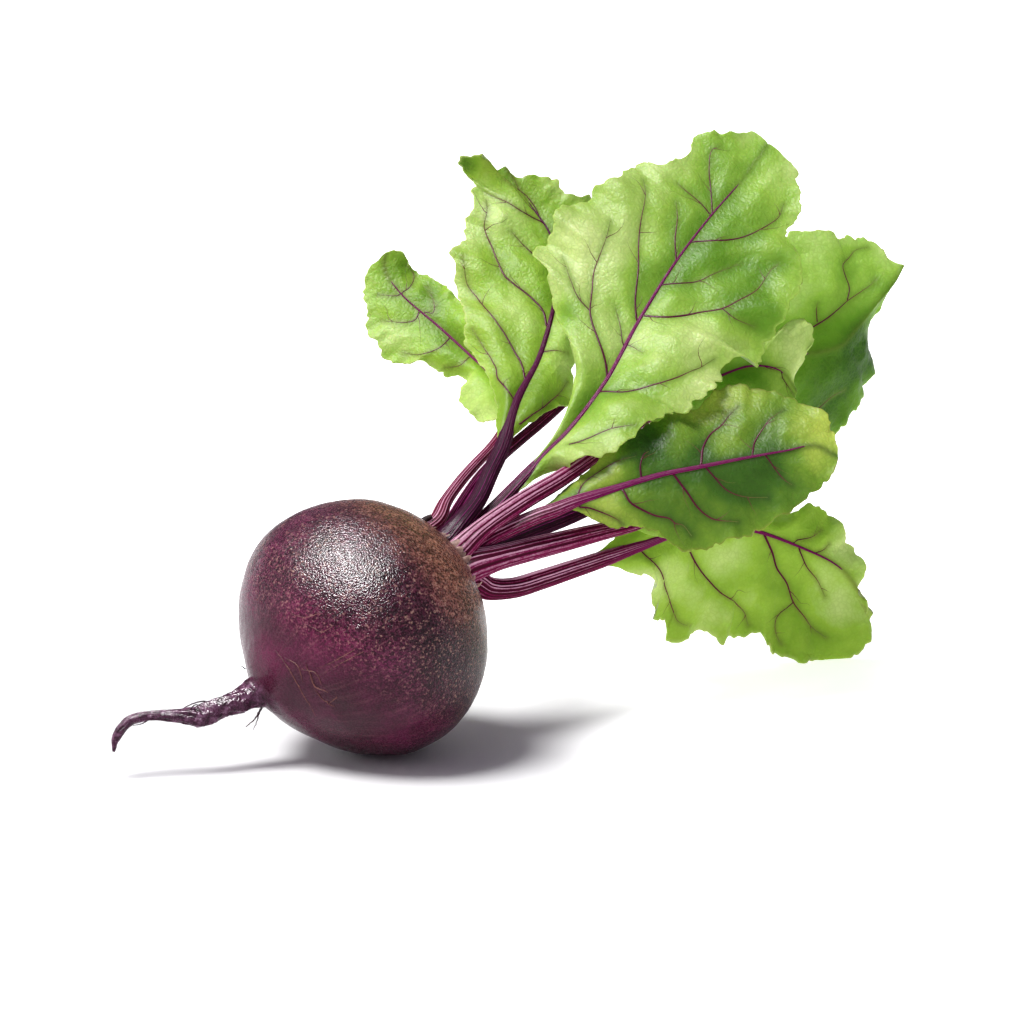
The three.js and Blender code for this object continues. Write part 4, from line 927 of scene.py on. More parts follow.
VEINS = {
    "far_left": [
        (0.5, [(402, 293), (397, 296), (378, 295)]),
        (0.5, [(420, 310), (415, 320), (400, 323), (382, 321)]),
        (0.5, [(450, 338), (440, 348), (422, 354), (402, 352)]),
        (0.4, [(470, 357), (460, 365), (445, 367)]),
        (0.4, [(402, 293), (410, 287), (414, 275), (408, 265)]),
        (0.4, [(425, 312), (433, 313), (434, 303), (427, 286)]),
    ],
    "left": [
        (0.8, [(546, 325), (543, 312), (530, 296), (515, 284), (505, 275), (498, 262), (492, 248), (486, 236),
               (484, 225), (487, 212), (486, 200)]),
        (0.7, [(525, 382), (521, 362), (515, 350), (505, 334), (495, 322), (485, 310), (478, 297), (470, 287),
               (465, 275), (461, 258)]),
        (0.6, [(515, 402), (505, 388), (498, 378), (496, 368), (488, 356), (480, 343), (472, 330)]),
        (0.5, [(545, 352), (555, 351), (567, 354)]),
        (0.5, [(520, 425), (540, 412), (550, 403), (560, 392), (567, 380)]),
        (0.4, [(532, 255), (522, 245), (510, 232)]),
        (0.5, [(541, 222), (520, 212), (505, 202), (486, 192)]),
        (0.5, [(541, 222), (535, 208), (525, 195), (518, 190), (505, 180)]),
    ],
    "tall": [
        (0.8, [(607, 378), (605, 362), (598, 340), (592, 322), (590, 310), (592, 290), (594, 272), (600, 255),
               (606, 238), (610, 222)]),
        (0.4, [(590, 310), (578, 297), (570, 280), (563, 258)]),
        (0.7, [(636, 318), (635, 300), (638, 270), (639, 240), (641, 220), (645, 195), (643, 180)]),
        (0.6, [(676, 262), (675, 240), (677, 220), (676, 203)]),
        (0.5, [(712, 215), (711, 190), (709, 168), (712, 150), (720, 147)]),
        (0.5, [(710, 215), (700, 203), (685, 190), (677, 183)]),
        (0.4, [(622, 342), (620, 325), (615, 305)]),
        (0.6, [(695, 242), (720, 242), (745, 237), (765, 228), (778, 218), (783, 205)]),
        (0.5, [(663, 285), (685, 283), (700, 280), (715, 273), (740, 263)]),
        (0.8, [(643, 316), (665, 318), (685, 315), (700, 312), (722, 309), (740, 300), (757, 290), (770, 272),
               (778, 265)]),
        (0.4, [(722, 309), (735, 320), (755, 326)]),
        (0.7, [(602, 392), (625, 391), (645, 387), (670, 380), (695, 370), (715, 358)]),
        (0.6, [(568, 443), (585, 438), (605, 432), (622, 428), (636, 426)]),
        (0.4, [(625, 345), (632, 347), (642, 353)]),
    ],
    "middle": [
        (0.4, [(760, 365), (770, 369), (780, 371)]),
        (0.4, [(782, 378), (793, 395)]),
    ],
    "front": [
        (0.6, [(577, 497), (583, 485), (595, 475), (615, 463), (635, 457)]),
        (0.8, [(641, 478), (640, 465), (643, 455), (648, 452)]),
        (0.8, [(701, 464), (703, 448), (710, 435), (722, 425), (730, 415), (738, 407)]),
        (0.6, [(752, 456), (755, 442), (762, 430), (770, 420), (783, 412)]),
        (0.6, [(580, 507), (590, 508), (605, 514), (615, 520), (622, 526)]),
        (0.8, [(624, 492), (630, 503), (640, 509), (655, 516), (668, 519), (675, 524), (682, 525),
               (692, 535)]),
        (0.8, [(673, 474), (685, 490), (697, 507), (712, 518), (725, 521), (738, 522)]),
        (0.6, [(705, 467), (715, 478), (727, 490), (742, 496), (768, 497)]),
        (0.5, [(765, 455), (775, 468), (785, 480), (792, 485)]),
    ],
    "right": [
        (0.5, [(811, 327), (825, 318), (835, 310), (846, 301), (858, 294), (871, 286), (877, 280)]),
        (0.4, [(846, 300), (849, 288), (845, 275), (843, 265), (850, 258), (858, 251), (870, 249)]),
        (0.4, [(815, 322), (814, 310), (815, 303)]),
        (0.4, [(815, 411), (825, 403), (835, 395), (845, 390)]),
    ],
    "low": [
        (0.8, [(765, 537), (773, 553), (777, 568), (787, 583), (793, 602), (805, 618), (812, 627),
               (825, 637)]),
        (0.7, [(690, 551), (698, 563), (708, 578), (720, 593), (733, 602), (745, 613), (748, 625)]),
        (0.6, [(643, 554), (650, 563), (660, 575), (667, 590), (675, 608), (680, 620), (690, 626)]),
        (0.5, [(800, 552), (807, 567), (818, 580), (827, 597)]),
        (0.4, [(797, 540), (810, 537), (820, 530)]),
        (0.4, [(815, 553), (823, 550), (828, 544)]),
        (0.4, [(793, 602), (775, 617), (773, 630), (780, 644)]),
    ],
}
# Some deeper patches are painted shadow, such as the tall leaf's shadow on the front leaf, or painted shade
# on the folded half of the right leaf that faces away, and some lighter ones are painted sheen.
TINTS_AND_PAINTED_LIGHT = {  # lighter (above 0) and deeper (below 0) patches: x, y, radius, amount
    "far_left": [(402, 268, 14, -0.7), (430, 295, 16, -0.8), (395, 330, 25, 0.4), (450, 385, 30, 0.2),
        (455, 335, 22, -0.4)],
    "left": [(465, 165, 12, -1.2), (515, 210, 32, 0.5), (500, 262, 24, -0.3), (530, 310, 30, 0.3),
        (500, 400, 24, -0.5), (545, 395, 26, -0.5), (545, 300, 14, -0.4)],
    "tall": [(600, 250, 50, 0.5), (612, 345, 30, 0.6), (730, 175, 45, -0.2), (760, 275, 45, -0.8),
        (775, 330, 30, -0.4), (670, 230, 40, 0.1), (655, 400, 35, -0.1), (565, 440, 26, 0.5),
        (565, 310, 14, -0.8), (640, 350, 30, 0.5), (695, 340, 30, 0.4), (580, 380, 16, 0.3)],
    "middle": [(785, 365, 25, 0.8), (750, 380, 20, -0.2)],
    "front": [(820, 440, 30, 1.1), (790, 420, 20, 0.4), (610, 470, 22, 0.6), (600, 510, 22, 0.5),
        (640, 440, 24, -0.9), (690, 490, 30, -0.3), (670, 525, 24, -0.4), (740, 445, 24, 0.3),
        (745, 475, 30, -0.5), (700, 455, 14, -0.5), (780, 520, 26, -0.2)],
    "right": [(870, 265, 26, 0.3), (830, 290, 26, -0.1), (840, 385, 45, -1.3), (865, 350, 30, -1.3),
        (820, 425, 30, -0.7)],
    "low": [(720, 590, 30, -0.1), (655, 580, 24, 0.5), (840, 610, 22, 0.7), (800, 640, 30, -0.5),
        (845, 560, 30, 0.2), (740, 555, 26, 0.2), (780, 590, 20, -0.2)],
}
print("leaves with drawn veins:", len(VEINS))

# %% [markdown]
# ## A blade, step by step
#
# The blade is a grid: rows run from its foot to its tip, and columns from one edge across the rib to the
# other. A plane that is cut out along the leaf's outline would do for a flat leaf, but a grid is easier to
# shape, because every point knows how far along (s) and how far out (t) it is.
#
# 1. The bare grid spans rib and edges, domed between them and waved along the edge, as the solid is.
# 2. The veins are laid on it.
# 3. Between the veins the blade swells in low blisters, and the edge gets its crisp folds and teeth.
# 4. The sheet gets a thickness, with the upper face and the underside as separate finishes.

# %% The bare grid of a blade
ROWS = 250
HALF = 30  # columns on either side of the rib
RIB_TIP = 0.9
TOOTH = 0.008
TEETH = 61 / (2 * math.pi)  # of the solid, along one edge
SUNK = 5  # how deep a stalk starts in the crown
SHY_OF_TIP = 0.985
WAVE_LAG = {"left": 0, "right": 1.9}
TOOTH_LAG = {"left": 0, "right": 2}


def sheet_of(leaf):
    """Grid points [row, column] of a blade, and the facing and level directions of each row."""
    start = place(leaf["stalk"][0])[0] - AXIS * SUNK
    spine, shares = measured(course(np.vstack([start, place(leaf["stalk"] + leaf["rib"])])))
    stalk_share = len(leaf["stalk"]) / (len(leaf["stalk"]) + len(leaf["rib"]))
    foot = shares[round(MEASURE_STEPS * stalk_share)]
    s = np.linspace(0, 1, ROWS + 1)
    inside = np.clip(s, 0, SHY_OF_TIP)
    rib = spine(foot + (1 - foot) * s)
    ahead = ahead_on(spine, foot + (1 - foot) * s)
    edges = {side: measured(course(place(leaf[side])))[0] for side in ("left", "right")}
    toward = {side: unit(edges[side](inside) - spine(foot + (1 - foot) * inside)) for side in edges}
    level = toward["left"] - toward["right"]
    level = unit(level - ahead * (level * ahead).sum(1)[:, None])
    facing = unit(np.cross(level, ahead))
    facing *= np.where(facing[:, 1:2] > 0, -1, 1)
    fade = np.sqrt(np.sin(math.pi * s) + 1e-9)[:, None]
    t = (1 - (1 - np.linspace(0, 1, HALF + 1)) ** 1.25)[None, :]
    swell = leaf["dome"] * np.sin(math.pi * t) * np.sin(math.pi * np.minimum(1, s * 1.2) ** 0.7)[:, None]
    halves = {}
    for side, edge in edges.items():
        tooth = 1 + TOOTH * np.sin(2 * math.pi * TEETH * s + TOOTH_LAG[side])[:, None] * t * fade
        flat = rib[:, None] + (edge(s) - rib)[:, None] * (t * tooth)[..., None]
        turns = 2 * math.pi * leaf["waves"] * s + WAVE_LAG[side]
        wave = leaf["ripple"] * t * t * np.sin(turns)[:, None] * fade
        halves[side] = flat + facing[:, None] * (swell + wave)[..., None]
    grid = np.concatenate([halves["left"][:, ::-1], halves["right"][:, 1:]], 1)
    out = np.concatenate([t[0][::-1], t[0][1:]])
    return dict(grid=grid, facing=facing, level=level, rib=rib, spine=spine, foot=foot, s=s, out=out)


sheets = {name: sheet_of(leaf) for name, leaf in LEAVES.items()}
for name, sheet in sheets.items():
    print(f"{name}: blade {run_along(sheet['rib'])[-1]:.0f} mm long")

# %% [markdown]
# A vein is known by where it is seen, and the blade by where it is, so each vein point is looked up among
# the grid's own seen places, and then moved by a part of a cell until it matches. Rays from the eye would
# find it too, but where a blade is folded they would meet the wrong fold.

# %% Look up places on the grid
LEAST_AREA = 0.02  # of a grid cell as it is seen, in mm2, so that a cell seen edge on moves nothing far


def on_grid(grid, row, column):
    """What the grid holds at rows and columns that may lie between its points."""
    row = np.clip(row, 0, grid.shape[0] - 1.001)
    column = np.clip(column, 0, grid.shape[1] - 1.001)
    i, j = row.astype(int), column.astype(int)
    a, b = (row - i)[:, None], (column - j)[:, None]
    near = grid[i, j] * (1 - b) + grid[i, j + 1] * b
    far = grid[i + 1, j] * (1 - b) + grid[i + 1, j + 1] * b
    return near * (1 - a) + far * a


def steps_on(grid, rows, columns):
    """How far one row down and one column over lead from each place on the grid."""
    down = on_grid(grid, rows + 0.5, columns) - on_grid(grid, rows - 0.5, columns)
    over = on_grid(grid, rows, columns + 0.5) - on_grid(grid, rows, columns - 0.5)
    return down, over


def nearest_to(points):
    """A tree that finds the nearest of many points quickly."""
    tree = kdtree.KDTree(len(points))
    for k, point in enumerate(points):
        tree.insert(point, k)
    tree.balance()
    return tree


def look_up(grid, flat_places):
    """Rows and columns of the grid that are seen at the given [across, up] places."""
    flat = seen(grid)[..., :2]
    tree = nearest_to([(x, y, 0) for x, y in flat.reshape(-1, 2)])
    found = [divmod(tree.find((x, y, 0))[1], grid.shape[1]) for x, y in flat_places]
    rows, columns = np.array(found, float).T
    for _ in range(3):
        miss = flat_places - on_grid(flat, rows, columns)
        down, over = steps_on(flat, rows, columns)
        area = down[:, 0] * over[:, 1] - down[:, 1] * over[:, 0]
        area = np.where(np.abs(area) < LEAST_AREA, LEAST_AREA * np.sign(area + 1e-12), area)
        rows = rows + np.clip((miss[:, 0] * over[:, 1] - miss[:, 1] * over[:, 0]) / area, -1, 1)
        columns = columns + np.clip((down[:, 0] * miss[:, 1] - down[:, 1] * miss[:, 0]) / area, -1, 1)
        rows = np.clip(rows, 0, grid.shape[0] - 1.01)
        columns = np.clip(columns, 0, grid.shape[1] - 1.01)
    return rows, columns


tip_row = look_up(sheets["tall"]["grid"], seen(sheets["tall"]["rib"][-1:])[:, :2])[0][0]
print("the tip of the tall leaf is found in row", round(tip_row), "of", ROWS)

# %% [markdown]
# The main veins can be drawn, because they show. Where a leaf is hidden they follow a rule: pairs that leave
# the rib at a slant and bend towards the tip. The fine side twigs are too many to draw by hand, so each main
# vein grows its own, which wander a little and alternate from side to side.

# %% Main veins
VEIN_FULLNESS = 0.62
VEIN_STEP = 0.8
JOIN_REACH = 6  # a vein that starts nearer to the rib than this starts on it
RULED = {"rear": 6, "inner": 6}  # leaves with ruled veins, and how many pairs they have
RULED_SEED = 40


def drawn_vein(sheet, radius, picture_places, joined):
    """A vein's radius and its rows and columns. It starts on the rib if that is nearer than joined."""
    route = course(px(picture_places))
    length = run_along(route(np.linspace(0, 1, 60)))[-1]
    steps = max(6, int(length / VEIN_STEP))
    rows, columns = look_up(sheet["grid"], route(np.linspace(0, 1, steps)))
    starts = on_grid(sheet["grid"], rows[:1].repeat(2), np.array([columns[0], HALF]))
    if np.linalg.norm(starts[0] - starts[1]) < joined:
        rows = np.concatenate([[max(0, rows[0] - 1.5)], rows])
        columns = np.concatenate([[HALF], columns])
    return radius * VEIN_FULLNESS, rows, columns


def ruled_veins(pairs, seed):
    """Pairs of veins up a hidden blade, as drawn_vein gives them."""
    draw = np.random.default_rng(seed)
    steps = np.linspace(0, 1, 40)
    made = []
    for k in range(pairs):
        for side in (-1, 1):
            start = (k + 0.35 + 0.3 * draw.random()) / (pairs + 1)
            out = (0.82 + 0.1 * draw.random()) * steps
            rows = (start + (0.05 + 0.1 * draw.random()) * steps**0.7 + 0.12 * steps**2) * ROWS
            columns = HALF + side * HALF * (1 - (1 - out) ** 0.8)
            keep = rows < ROWS * 0.97
            made.append((0.6 - 0.25 * k / pairs, rows[keep], columns[keep]))
    return made


for number, (name, sheet) in enumerate(sheets.items()):
    joined = 0 if "hide_rib" in LEAVES[name] else JOIN_REACH
    sheet["veins"] = [drawn_vein(sheet, radius, places, joined) for radius, places in VEINS.get(name, [])]
    if name in RULED:
        sheet["veins"] += ruled_veins(RULED[name], RULED_SEED + number)
    print(name, "veins:", len(sheet["veins"]))

# %% Side twigs
TWIG_RADIUS = 0.16
TWIG_SEED = 20


def side_twigs(sheet, vein, draw):
    """Short fine veins that leave a main one to either side, at a slant."""
    radius, rows, columns = vein
    route = on_grid(sheet["grid"], rows, columns)
    downs, overs = steps_on(sheet["grid"], rows, columns)
    twigs = []
    k = 3 + int(draw.integers(0, 5))
    side = draw.choice([-1, 1])
    while k < len(rows) - 3:
        ahead = unit(route[k + 1] - route[k - 1])
        down, over = downs[k], overs[k]
        out = unit(np.cross(np.cross(down, over), ahead)) * side
        steps = int(draw.integers(5, 14))
        lean = 0.5 + 0.5 * draw.random()
        row, column = rows[k], columns[k]
        trail = [(row, column)]
        for _ in range(steps):
            lean = min(1.1, max(0.2, lean + draw.normal(0, 0.14)))
            step = VEIN_STEP * (math.cos(lean) * ahead + math.sin(lean) * out)
            part = np.linalg.lstsq(np.stack([down, over], 1), step, rcond=None)[0]
            row, column = row + part[0], column + part[1]
            if not (1 < row < ROWS - 2 and 1 < column < 2 * HALF - 1):
                break
            trail.append((row, column))
        if len(trail) > 4:
            twigs.append((min(TWIG_RADIUS, radius * 0.42), *np.array(trail).T))
        side = -side
        k += int(draw.integers(8, 18))
    return twigs


for number, (name, sheet) in enumerate(sheets.items()):
    draw = np.random.default_rng(TWIG_SEED + number)
    twigs = [twig for vein in sheet["veins"] for twig in side_twigs(sheet, vein, draw)]
    sheet["twigs"] = [] if "hide_rib" in LEAVES[name] else twigs
    print(name, "twigs:", len(sheet["twigs"]))

# %% [markdown]
# The blade puckers because it grows on between veins that have stopped growing. A displacement by a picture
# could do that too, but it wouldn't know the veins. Here the blisters rise with the distance from the
# nearest vein and level off after a few millimetres. The folds and teeth of the edge come from smooth random
# lines, drawn with a fixed seed so that each run of the script gives the same leaf.

# %% Blisters, folds and teeth
BLISTER_REACH = 5
BLADE_SEED = 70
LOWEST = 0.3  # the middle of a sheet that lies on the floor


def random_line(draw, arc, spacing, pointed=False):
    """A random value from -1 to 1 along an arc, with a turn about every spacing millimetres."""
    knots = draw.uniform(-1, 1, int(arc[-1] / spacing) + 3)
    i = (arc / spacing).astype(int)
    f = arc / spacing - i
    if not pointed:
        f = f * f * (3 - 2 * f)
    return knots[i] * (1 - f) + knots[i + 1] * f


def noise_over(grid, size):
    return np.array([noise.noise(Vector(p / size)) for p in grid.reshape(-1, 3)]).reshape(grid.shape[:2])


def shape_blade(sheet, seed):
    """Pucker a sheet's grid and crisp its edge, and keep how far each point is from a vein."""
    draw = np.random.default_rng(seed)
    grid = sheet["grid"].copy()
    facing = sheet["facing"][:, None]
    lines = [on_grid(grid, rows, columns) for _, rows, columns in sheet["veins"]]
    tree = nearest_to(np.vstack([sheet["rib"], *lines]))
    away = np.array([tree.find(p)[2] for p in grid.reshape(-1, 3)]).reshape(grid.shape[:2])
    puff = 1 - np.exp(-((away / BLISTER_REACH) ** 2))
    near_rib = smooth_step(np.linalg.norm(grid - grid[:, HALF : HALF + 1], axis=2), 1.5, 8)
    lift = puff + 2.2 * noise_over(grid, 17) * near_rib + 0.8 * noise_over(grid, 7.5) * puff
    lift += 0.35 * noise_over(grid, 3) * puff
    grid += facing * lift[..., None]
    for columns, first in ((slice(0, HALF + 1), 0), (slice(HALF, 2 * HALF + 1), 2 * HALF)):
        edge = grid[:, first]
        arc = run_along(edge)
        fold = 1.2 * random_line(draw, arc, 6.5) + 0.6 * random_line(draw, arc, 2.8)
        teeth = 0.75 * random_line(draw, arc, 2.6, True) + 0.65 * random_line(draw, arc, 1.2, True)
        calm = np.minimum(1, np.minimum(sheet["s"], 1 - sheet["s"]) * 12)
        share = sheet["out"][columns]
        outward = unit(edge - sheet["rib"])
        grid[:, columns] += facing * ((fold * calm)[:, None] * share**4)[..., None]
        grid[:, columns] += outward[:, None] * ((teeth * calm)[:, None] * share**14)[..., None]
    grid[..., 2] = np.maximum(grid[..., 2], LOWEST)
    sheet.update(formed=grid, away=away, puff=puff)


for number, (name, sheet) in enumerate(sheets.items()):
    shape_blade(sheet, BLADE_SEED + number)
    print(name, "edge now spans", [round(v) for v in np.ptp(sheet["formed"].reshape(-1, 3), axis=0)], "mm")

# %% [markdown]
# Now the sheet becomes a solid: one copy of the grid is lifted by half the thickness along its normals, one
# is lowered, and a wall closes the rim. A Solidify modifier would do the same, but then the two faces and
# the rim couldn't have values of their own. The row at the tip is a single point. At its foot the blade is
# narrowed and runs down the stalk as two wings, as a beet leaf does.

# %% Wings at the foot
WING_ROWS = 24
WING_REACH = 8  # millimetres down the stalk
FOOT_WIDTH = 0.6  # of the blade's first row


def with_wings(sheet, key):
    """Rows of the sheet or of a value on it, narrowed at the foot and continued down the stalk from there."""
    whole = sheet[key]
    if whole.ndim < 3:
        return np.vstack([np.repeat(whole[:1], WING_ROWS, 0), whole])
    width = FOOT_WIDTH + (1 - FOOT_WIDTH) * smooth_step(sheet["s"], 0, 0.09)
    whole = sheet["rib"][:, None] + (whole - sheet["rib"][:, None]) * width[:, None, None]
    down = np.linspace(1, 0, WING_ROWS, endpoint=False)
    reach = WING_REACH * (1 - sheet["foot"]) / run_along(sheet["rib"])[-1]
    middles = sheet["spine"](sheet["foot"] - down * reach)
    narrowed = (1 - down) ** 1.3 + 0.2 * down
    wings = middles[:, None] + (whole[0] - sheet["rib"][0]) * narrowed[:, None, None]
    return np.concatenate([wings, whole])


print("rows with the wings:", len(with_wings(sheets["tall"], "formed")))

# %% Faces of a thin solid
def solid_faces(rows, wide):
    """Faces of a sheet's two copies and its rim, and the finish of each: 0 is the upper, 1 the underside."""
    back, last = rows * wide, 2 * rows * wide
    faces, slots = [], []
    for i in range(rows - 1):
        for j in range(wide - 1):
            quad = (i * wide + j, i * wide + j + 1, (i + 1) * wide + j + 1, (i + 1) * wide + j)
            faces += [quad, tuple(back + k for k in quad[::-1])]
            slots += [0, 1]
    end = (rows - 1) * wide
    for j in range(wide - 1):
        faces += [(end + j, end + j + 1, last), (back + end + j + 1, back + end + j, last)]
        faces.append((j + 1, j, back + j, back + j + 1))
        slots += [0, 1, 0]
    for i in range(rows - 1):
        a, b = i * wide, (i + 1) * wide
        c, d = a + wide - 1, b + wide - 1
        faces += [(a, b, back + b, back + a), (d, c, back + c, back + d)]
        slots += [0, 0]
    faces += [(end, last, back + end), (last, end + wide - 1, back + end + wide - 1)]
    return faces, slots + [0, 0]


print("a sheet of two rows and three columns gets", len(solid_faces(2, 3)[0]), "faces")

# %% Give the blades their thickness
THICK = 0.5
VEIN_GLOW = 1.1  # how far from a vein, in millimetres, its colour has mostly faded


def normals_of(grid):
    return unit(np.cross(np.gradient(grid, axis=0), np.gradient(grid, axis=1)))


def tint_and_painted_light_at(name, flat):
    """How much lighter or deeper each seen place is painted: partly the leaf's own patches, partly painted
    shade and sheen.
    """
    tint = np.zeros(len(flat))
    for x, y, radius, amount in TINTS_AND_PAINTED_LIGHT.get(name, []):
        apart = np.linalg.norm(flat[:, :2] - px([(x, y)])[0], axis=1) / (radius * PICTURE_STEP)
        tint += amount * np.exp(-(apart**2))
    return tint


def blade_piece(name, leaf, sheet):
    grid, away, swell = (with_wings(sheet, key) for key in ("formed", "away", "puff"))
    rows, wide = len(grid) - 1, grid.shape[1]
    normals = normals_of(grid)
    upper = 1 if (normals[WING_ROWS:] * sheet["facing"][:, None]).sum() > 0 else -1
    lift = upper * normals * THICK / 2
    copies = [(grid + way * lift)[:-1].reshape(-1, 3) for way in (1, -1)]
    points = np.vstack([*copies, sheet["rib"][-1]])
    points[:, 2] = np.maximum(points[:, 2], 0)
    faces, slots = solid_faces(rows, wide)
    if upper > 0:
        faces = [f[::-1] for f in faces]
    # Each value, its share on the upper face and on the underside, and what it is at the tip
    marks = {
        "vein": (np.exp(-((away / VEIN_GLOW) ** 2)), 0.6, 0.5, 0),
        "puff": (swell, 1, 1, 0),
        "out": (sheet["out"], 1, 1, 1),
        "tint": (tint_and_painted_light_at(name, seen(grid.reshape(-1, 3))).reshape(grid.shape[:2]), 1, 1, 0),
        "edge": (np.clip((sheet["out"] - 0.965) / 0.035, 0, 1), 0.6, 0.4, 0),
    }
    values = {}
    for key, (mark, above, below, at_tip) in marks.items():
        mark = np.broadcast_to(mark, grid.shape[:2])[:-1].ravel()
        values[key] = np.concatenate([mark * above, mark * below, [at_tip]])
    looks = [blades[leaf["blade"]], blades[leaf.get("under", "under")]]
    made = piece("leaf_" + name, points, faces, looks, slots, values)
    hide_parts("blade_" + name)
    return made


for name, leaf in LEAVES.items():
    made = blade_piece(name, leaf, sheets[name])
print("a blade has", len(made.data.polygons), "faces")

# %% [markdown]
# A beet leaf's veins stand out from it like cords. The blade's bump could fake that, but the main ones are
# up to a millimetre thick and throw shadows, so each is a six-sided tube that lies half sunk in the blade
# and tapers to a fifth.

# %% Raise the veins
VEIN_SIDES = 6
VEIN_SUNK = 0.2  # of its radius
TWIG_START = 0.65  # twigs are as green from the start as a vein is from here on


def veins_piece(name, sheet):
    grid = sheet["formed"]
    normals = normals_of(grid)
    normals *= np.where((normals * sheet["facing"][:, None]).sum(-1, keepdims=True) > 0, 1, -1)
    tubes, starts = [], []
    for radius, rows, columns in sheet["veins"] + sheet["twigs"]:
        n = unit(on_grid(normals, rows, columns))
        radii = radius * (1 - 0.8 * np.linspace(0, 1, len(rows)))
        route = on_grid(grid, rows, columns) + n * (THICK / 2 - VEIN_SUNK * radii[:, None])
        tubes.append(tube_through(route, radii, n, sides=VEIN_SIDES))
        starts.append(0 if radius > 0.2 else TWIG_START)
    return many_tubes("veins_" + name, tubes, vein_skin, starts)


for name, sheet in sheets.items():
    if sheet["veins"]:
        made = veins_piece(name, sheet)
        print(made.name, len(made.data.polygons), "faces")

# %% [markdown]
# ## Stalks and ribs
#
# A beet's stalk is broad and ridged, and grows out of the crown with a flared foot. A curve with a bevel
# would give a plain round tube, so the stalk is swept along its course ring by ring instead. Each ring is a
# flattened circle on which bands of random width stand out a little. From the foot of the blade on it is the
# rib: it narrows towards the tip and sinks into the blade.

# %% Bands and width of a stalk
FLARE = 0.32
FLARE_REACH = 7  # millimetres from the crown


def bands_round(draw, count, angles, shares):
    """Pale bands round a stalk: 1 in the middle of each and 0 in the lines between them."""
    centres = (np.arange(count) + draw.uniform(-0.28, 0.28, count)) * 2 * math.pi / count
    half = draw.uniform(*shares, count) * math.pi / count
    strength = draw.uniform(0.55, 1, count)
    apart = np.abs((angles[:, None] - centres + math.pi) % (2 * math.pi) - math.pi)
    return (strength * np.exp(-((apart / half) ** 6))).max(1)


def stalk_width(leaf, time, foot, run):
    """The width at a time: flared in the crown, tapering to the foot of the blade, and thin along the rib."""
    if time < foot:
        width = leaf["wide"] + (leaf["rib_wide"] + RIB_TIP - leaf["wide"]) * (time / foot) ** 2
        return width * (1 + FLARE * math.exp(-((max(0, run - SUNK) / FLARE_REACH) ** 2)))
    s = (time - foot) / (1 - foot)
    return (leaf["rib_wide"] * (1 - s) ** 1.2 + RIB_TIP * (1 - 0.6 * s)) * (1 - 0.42 * smooth_step(s, 0, 0.3))


for name, leaf in LEAVES.items():
    print(name, "stalk:", round(stalk_width(leaf, 0, 1, 0), 1), "mm wide where it starts")

# %% Sweep the stalks
STALK_SIDES = 120
STALK_RINGS = 90  # on the stalk, and again on the rib
FLATNESS = 0.78
FIRST_ROW = 4  # of the blade that gives a direction


def stalk_piece(name, leaf, sheet, seed):
    draw = np.random.default_rng(seed)
    spine, foot = sheet["spine"], sheet["foot"]
    angles = around_circle(STALK_SIDES) - math.pi / 2
    on_stalk = np.linspace(0, foot, STALK_RINGS, endpoint=False)
    times = np.concatenate([on_stalk, np.linspace(foot, SHY_OF_TIP, STALK_RINGS)])
    ahead = ahead_on(spine, times)
    share = np.clip((times - foot) / (1 - foot), 0, 1)
    rows = np.maximum(share * ROWS, FIRST_ROW)
    facing, levels = (
        on_grid(sheet[key][:, None].repeat(2, 1), rows, np.zeros(len(rows))) for key in ("facing", "level")
    )
    raised = 0.3 * smooth_step(share, 0, 0.2) - 0.7 * smooth_step(share, 0.84, 0.95)
    hidden = leaf.get("hide_rib", 0) * FORWARD * smooth_step(share, 0.2, 0.6)[:, None]
    centres = spine(times) + facing * raised[:, None] + hidden
    run = run_along(centres)
    count = int(8 + 1.6 * leaf["wide"])
    early, late = (bands_round(draw, c, angles, BAND_SHARES[leaf["petiole"]]) for c in (count, count + 3))
    for k in range(len(times) - 1, -1, -1):
        if times[k] < foot:
            levels[k] = levels[k + 1]
        levels[k] = unit(levels[k] - ahead[k] * (levels[k] @ ahead[k]))
    turned = -1 if np.cross(ahead[STALK_RINGS], levels[STALK_RINGS]) @ FORWARD > 0 else 1
    rings, pale, rib = [], [], []
    for k, time in enumerate(times):
        level, up = levels[k], turned * np.cross(ahead[k], levels[k])
        blend = smooth_step(run[k] / run[-1], 0.15, 0.6)
        bands = early * (1 - blend) + late * blend
        radii = stalk_width(leaf, time, foot, run[k]) / 2 * (0.9 + 0.1 * bands)
        rings.append(ring_of(centres[k], radii[:, None], angles, level, FLATNESS * up))
        # Painted light: the pale bands are painted lighter where the stalk faces up and darker where it faces
        # down.
        painted_top_light = 0.75 + 0.25 * (np.cos(angles) * level[2] + np.sin(angles) * up[2])
        pale.append(bands * painted_top_light * (1 - 0.5 * share[k]))
        rib.append(np.full(STALK_SIDES, smooth_step((time - foot) / (1 - foot), -0.05, 0.25)))
    points, faces = closed_tube(rings)
    around = np.tile((angles + math.pi / 2) * leaf["wide"] / 2, len(times))
    made = piece("petiole_" + name, points, faces, [petioles[leaf["petiole"]]], None, {
        "pale": np.concatenate([*pale, [0, 0]]), "rib": np.concatenate([*rib, [0, 1]]),
        "around": np.concatenate([around, [0, 0]]) + 10 * seed,
        "run": np.concatenate([np.repeat(run, STALK_SIDES), [0, run[-1]]])})
    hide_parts("stalk_" + name)
    return made


for number, (name, leaf) in enumerate(LEAVES.items()):
    made = stalk_piece(name, leaf, sheets[name], number)
print("a stalk has", len(made.data.polygons), "faces")

# %% [markdown]
# ## Light and floor
#
# The floor and what is above it are one white, as in a studio with white paper on the table. One soft key
# light from above, a little from the left, lays the shadow under the root. A disk in front of it is seen
# only in the sheen and gives the root its broad highlight, and a weak one at the left lights the root's rim.
# Right of the root and behind it the paper glows a little, which keeps the leaves' faint shadows white. More
# lamps could do that too, but they would flatten the leaves.

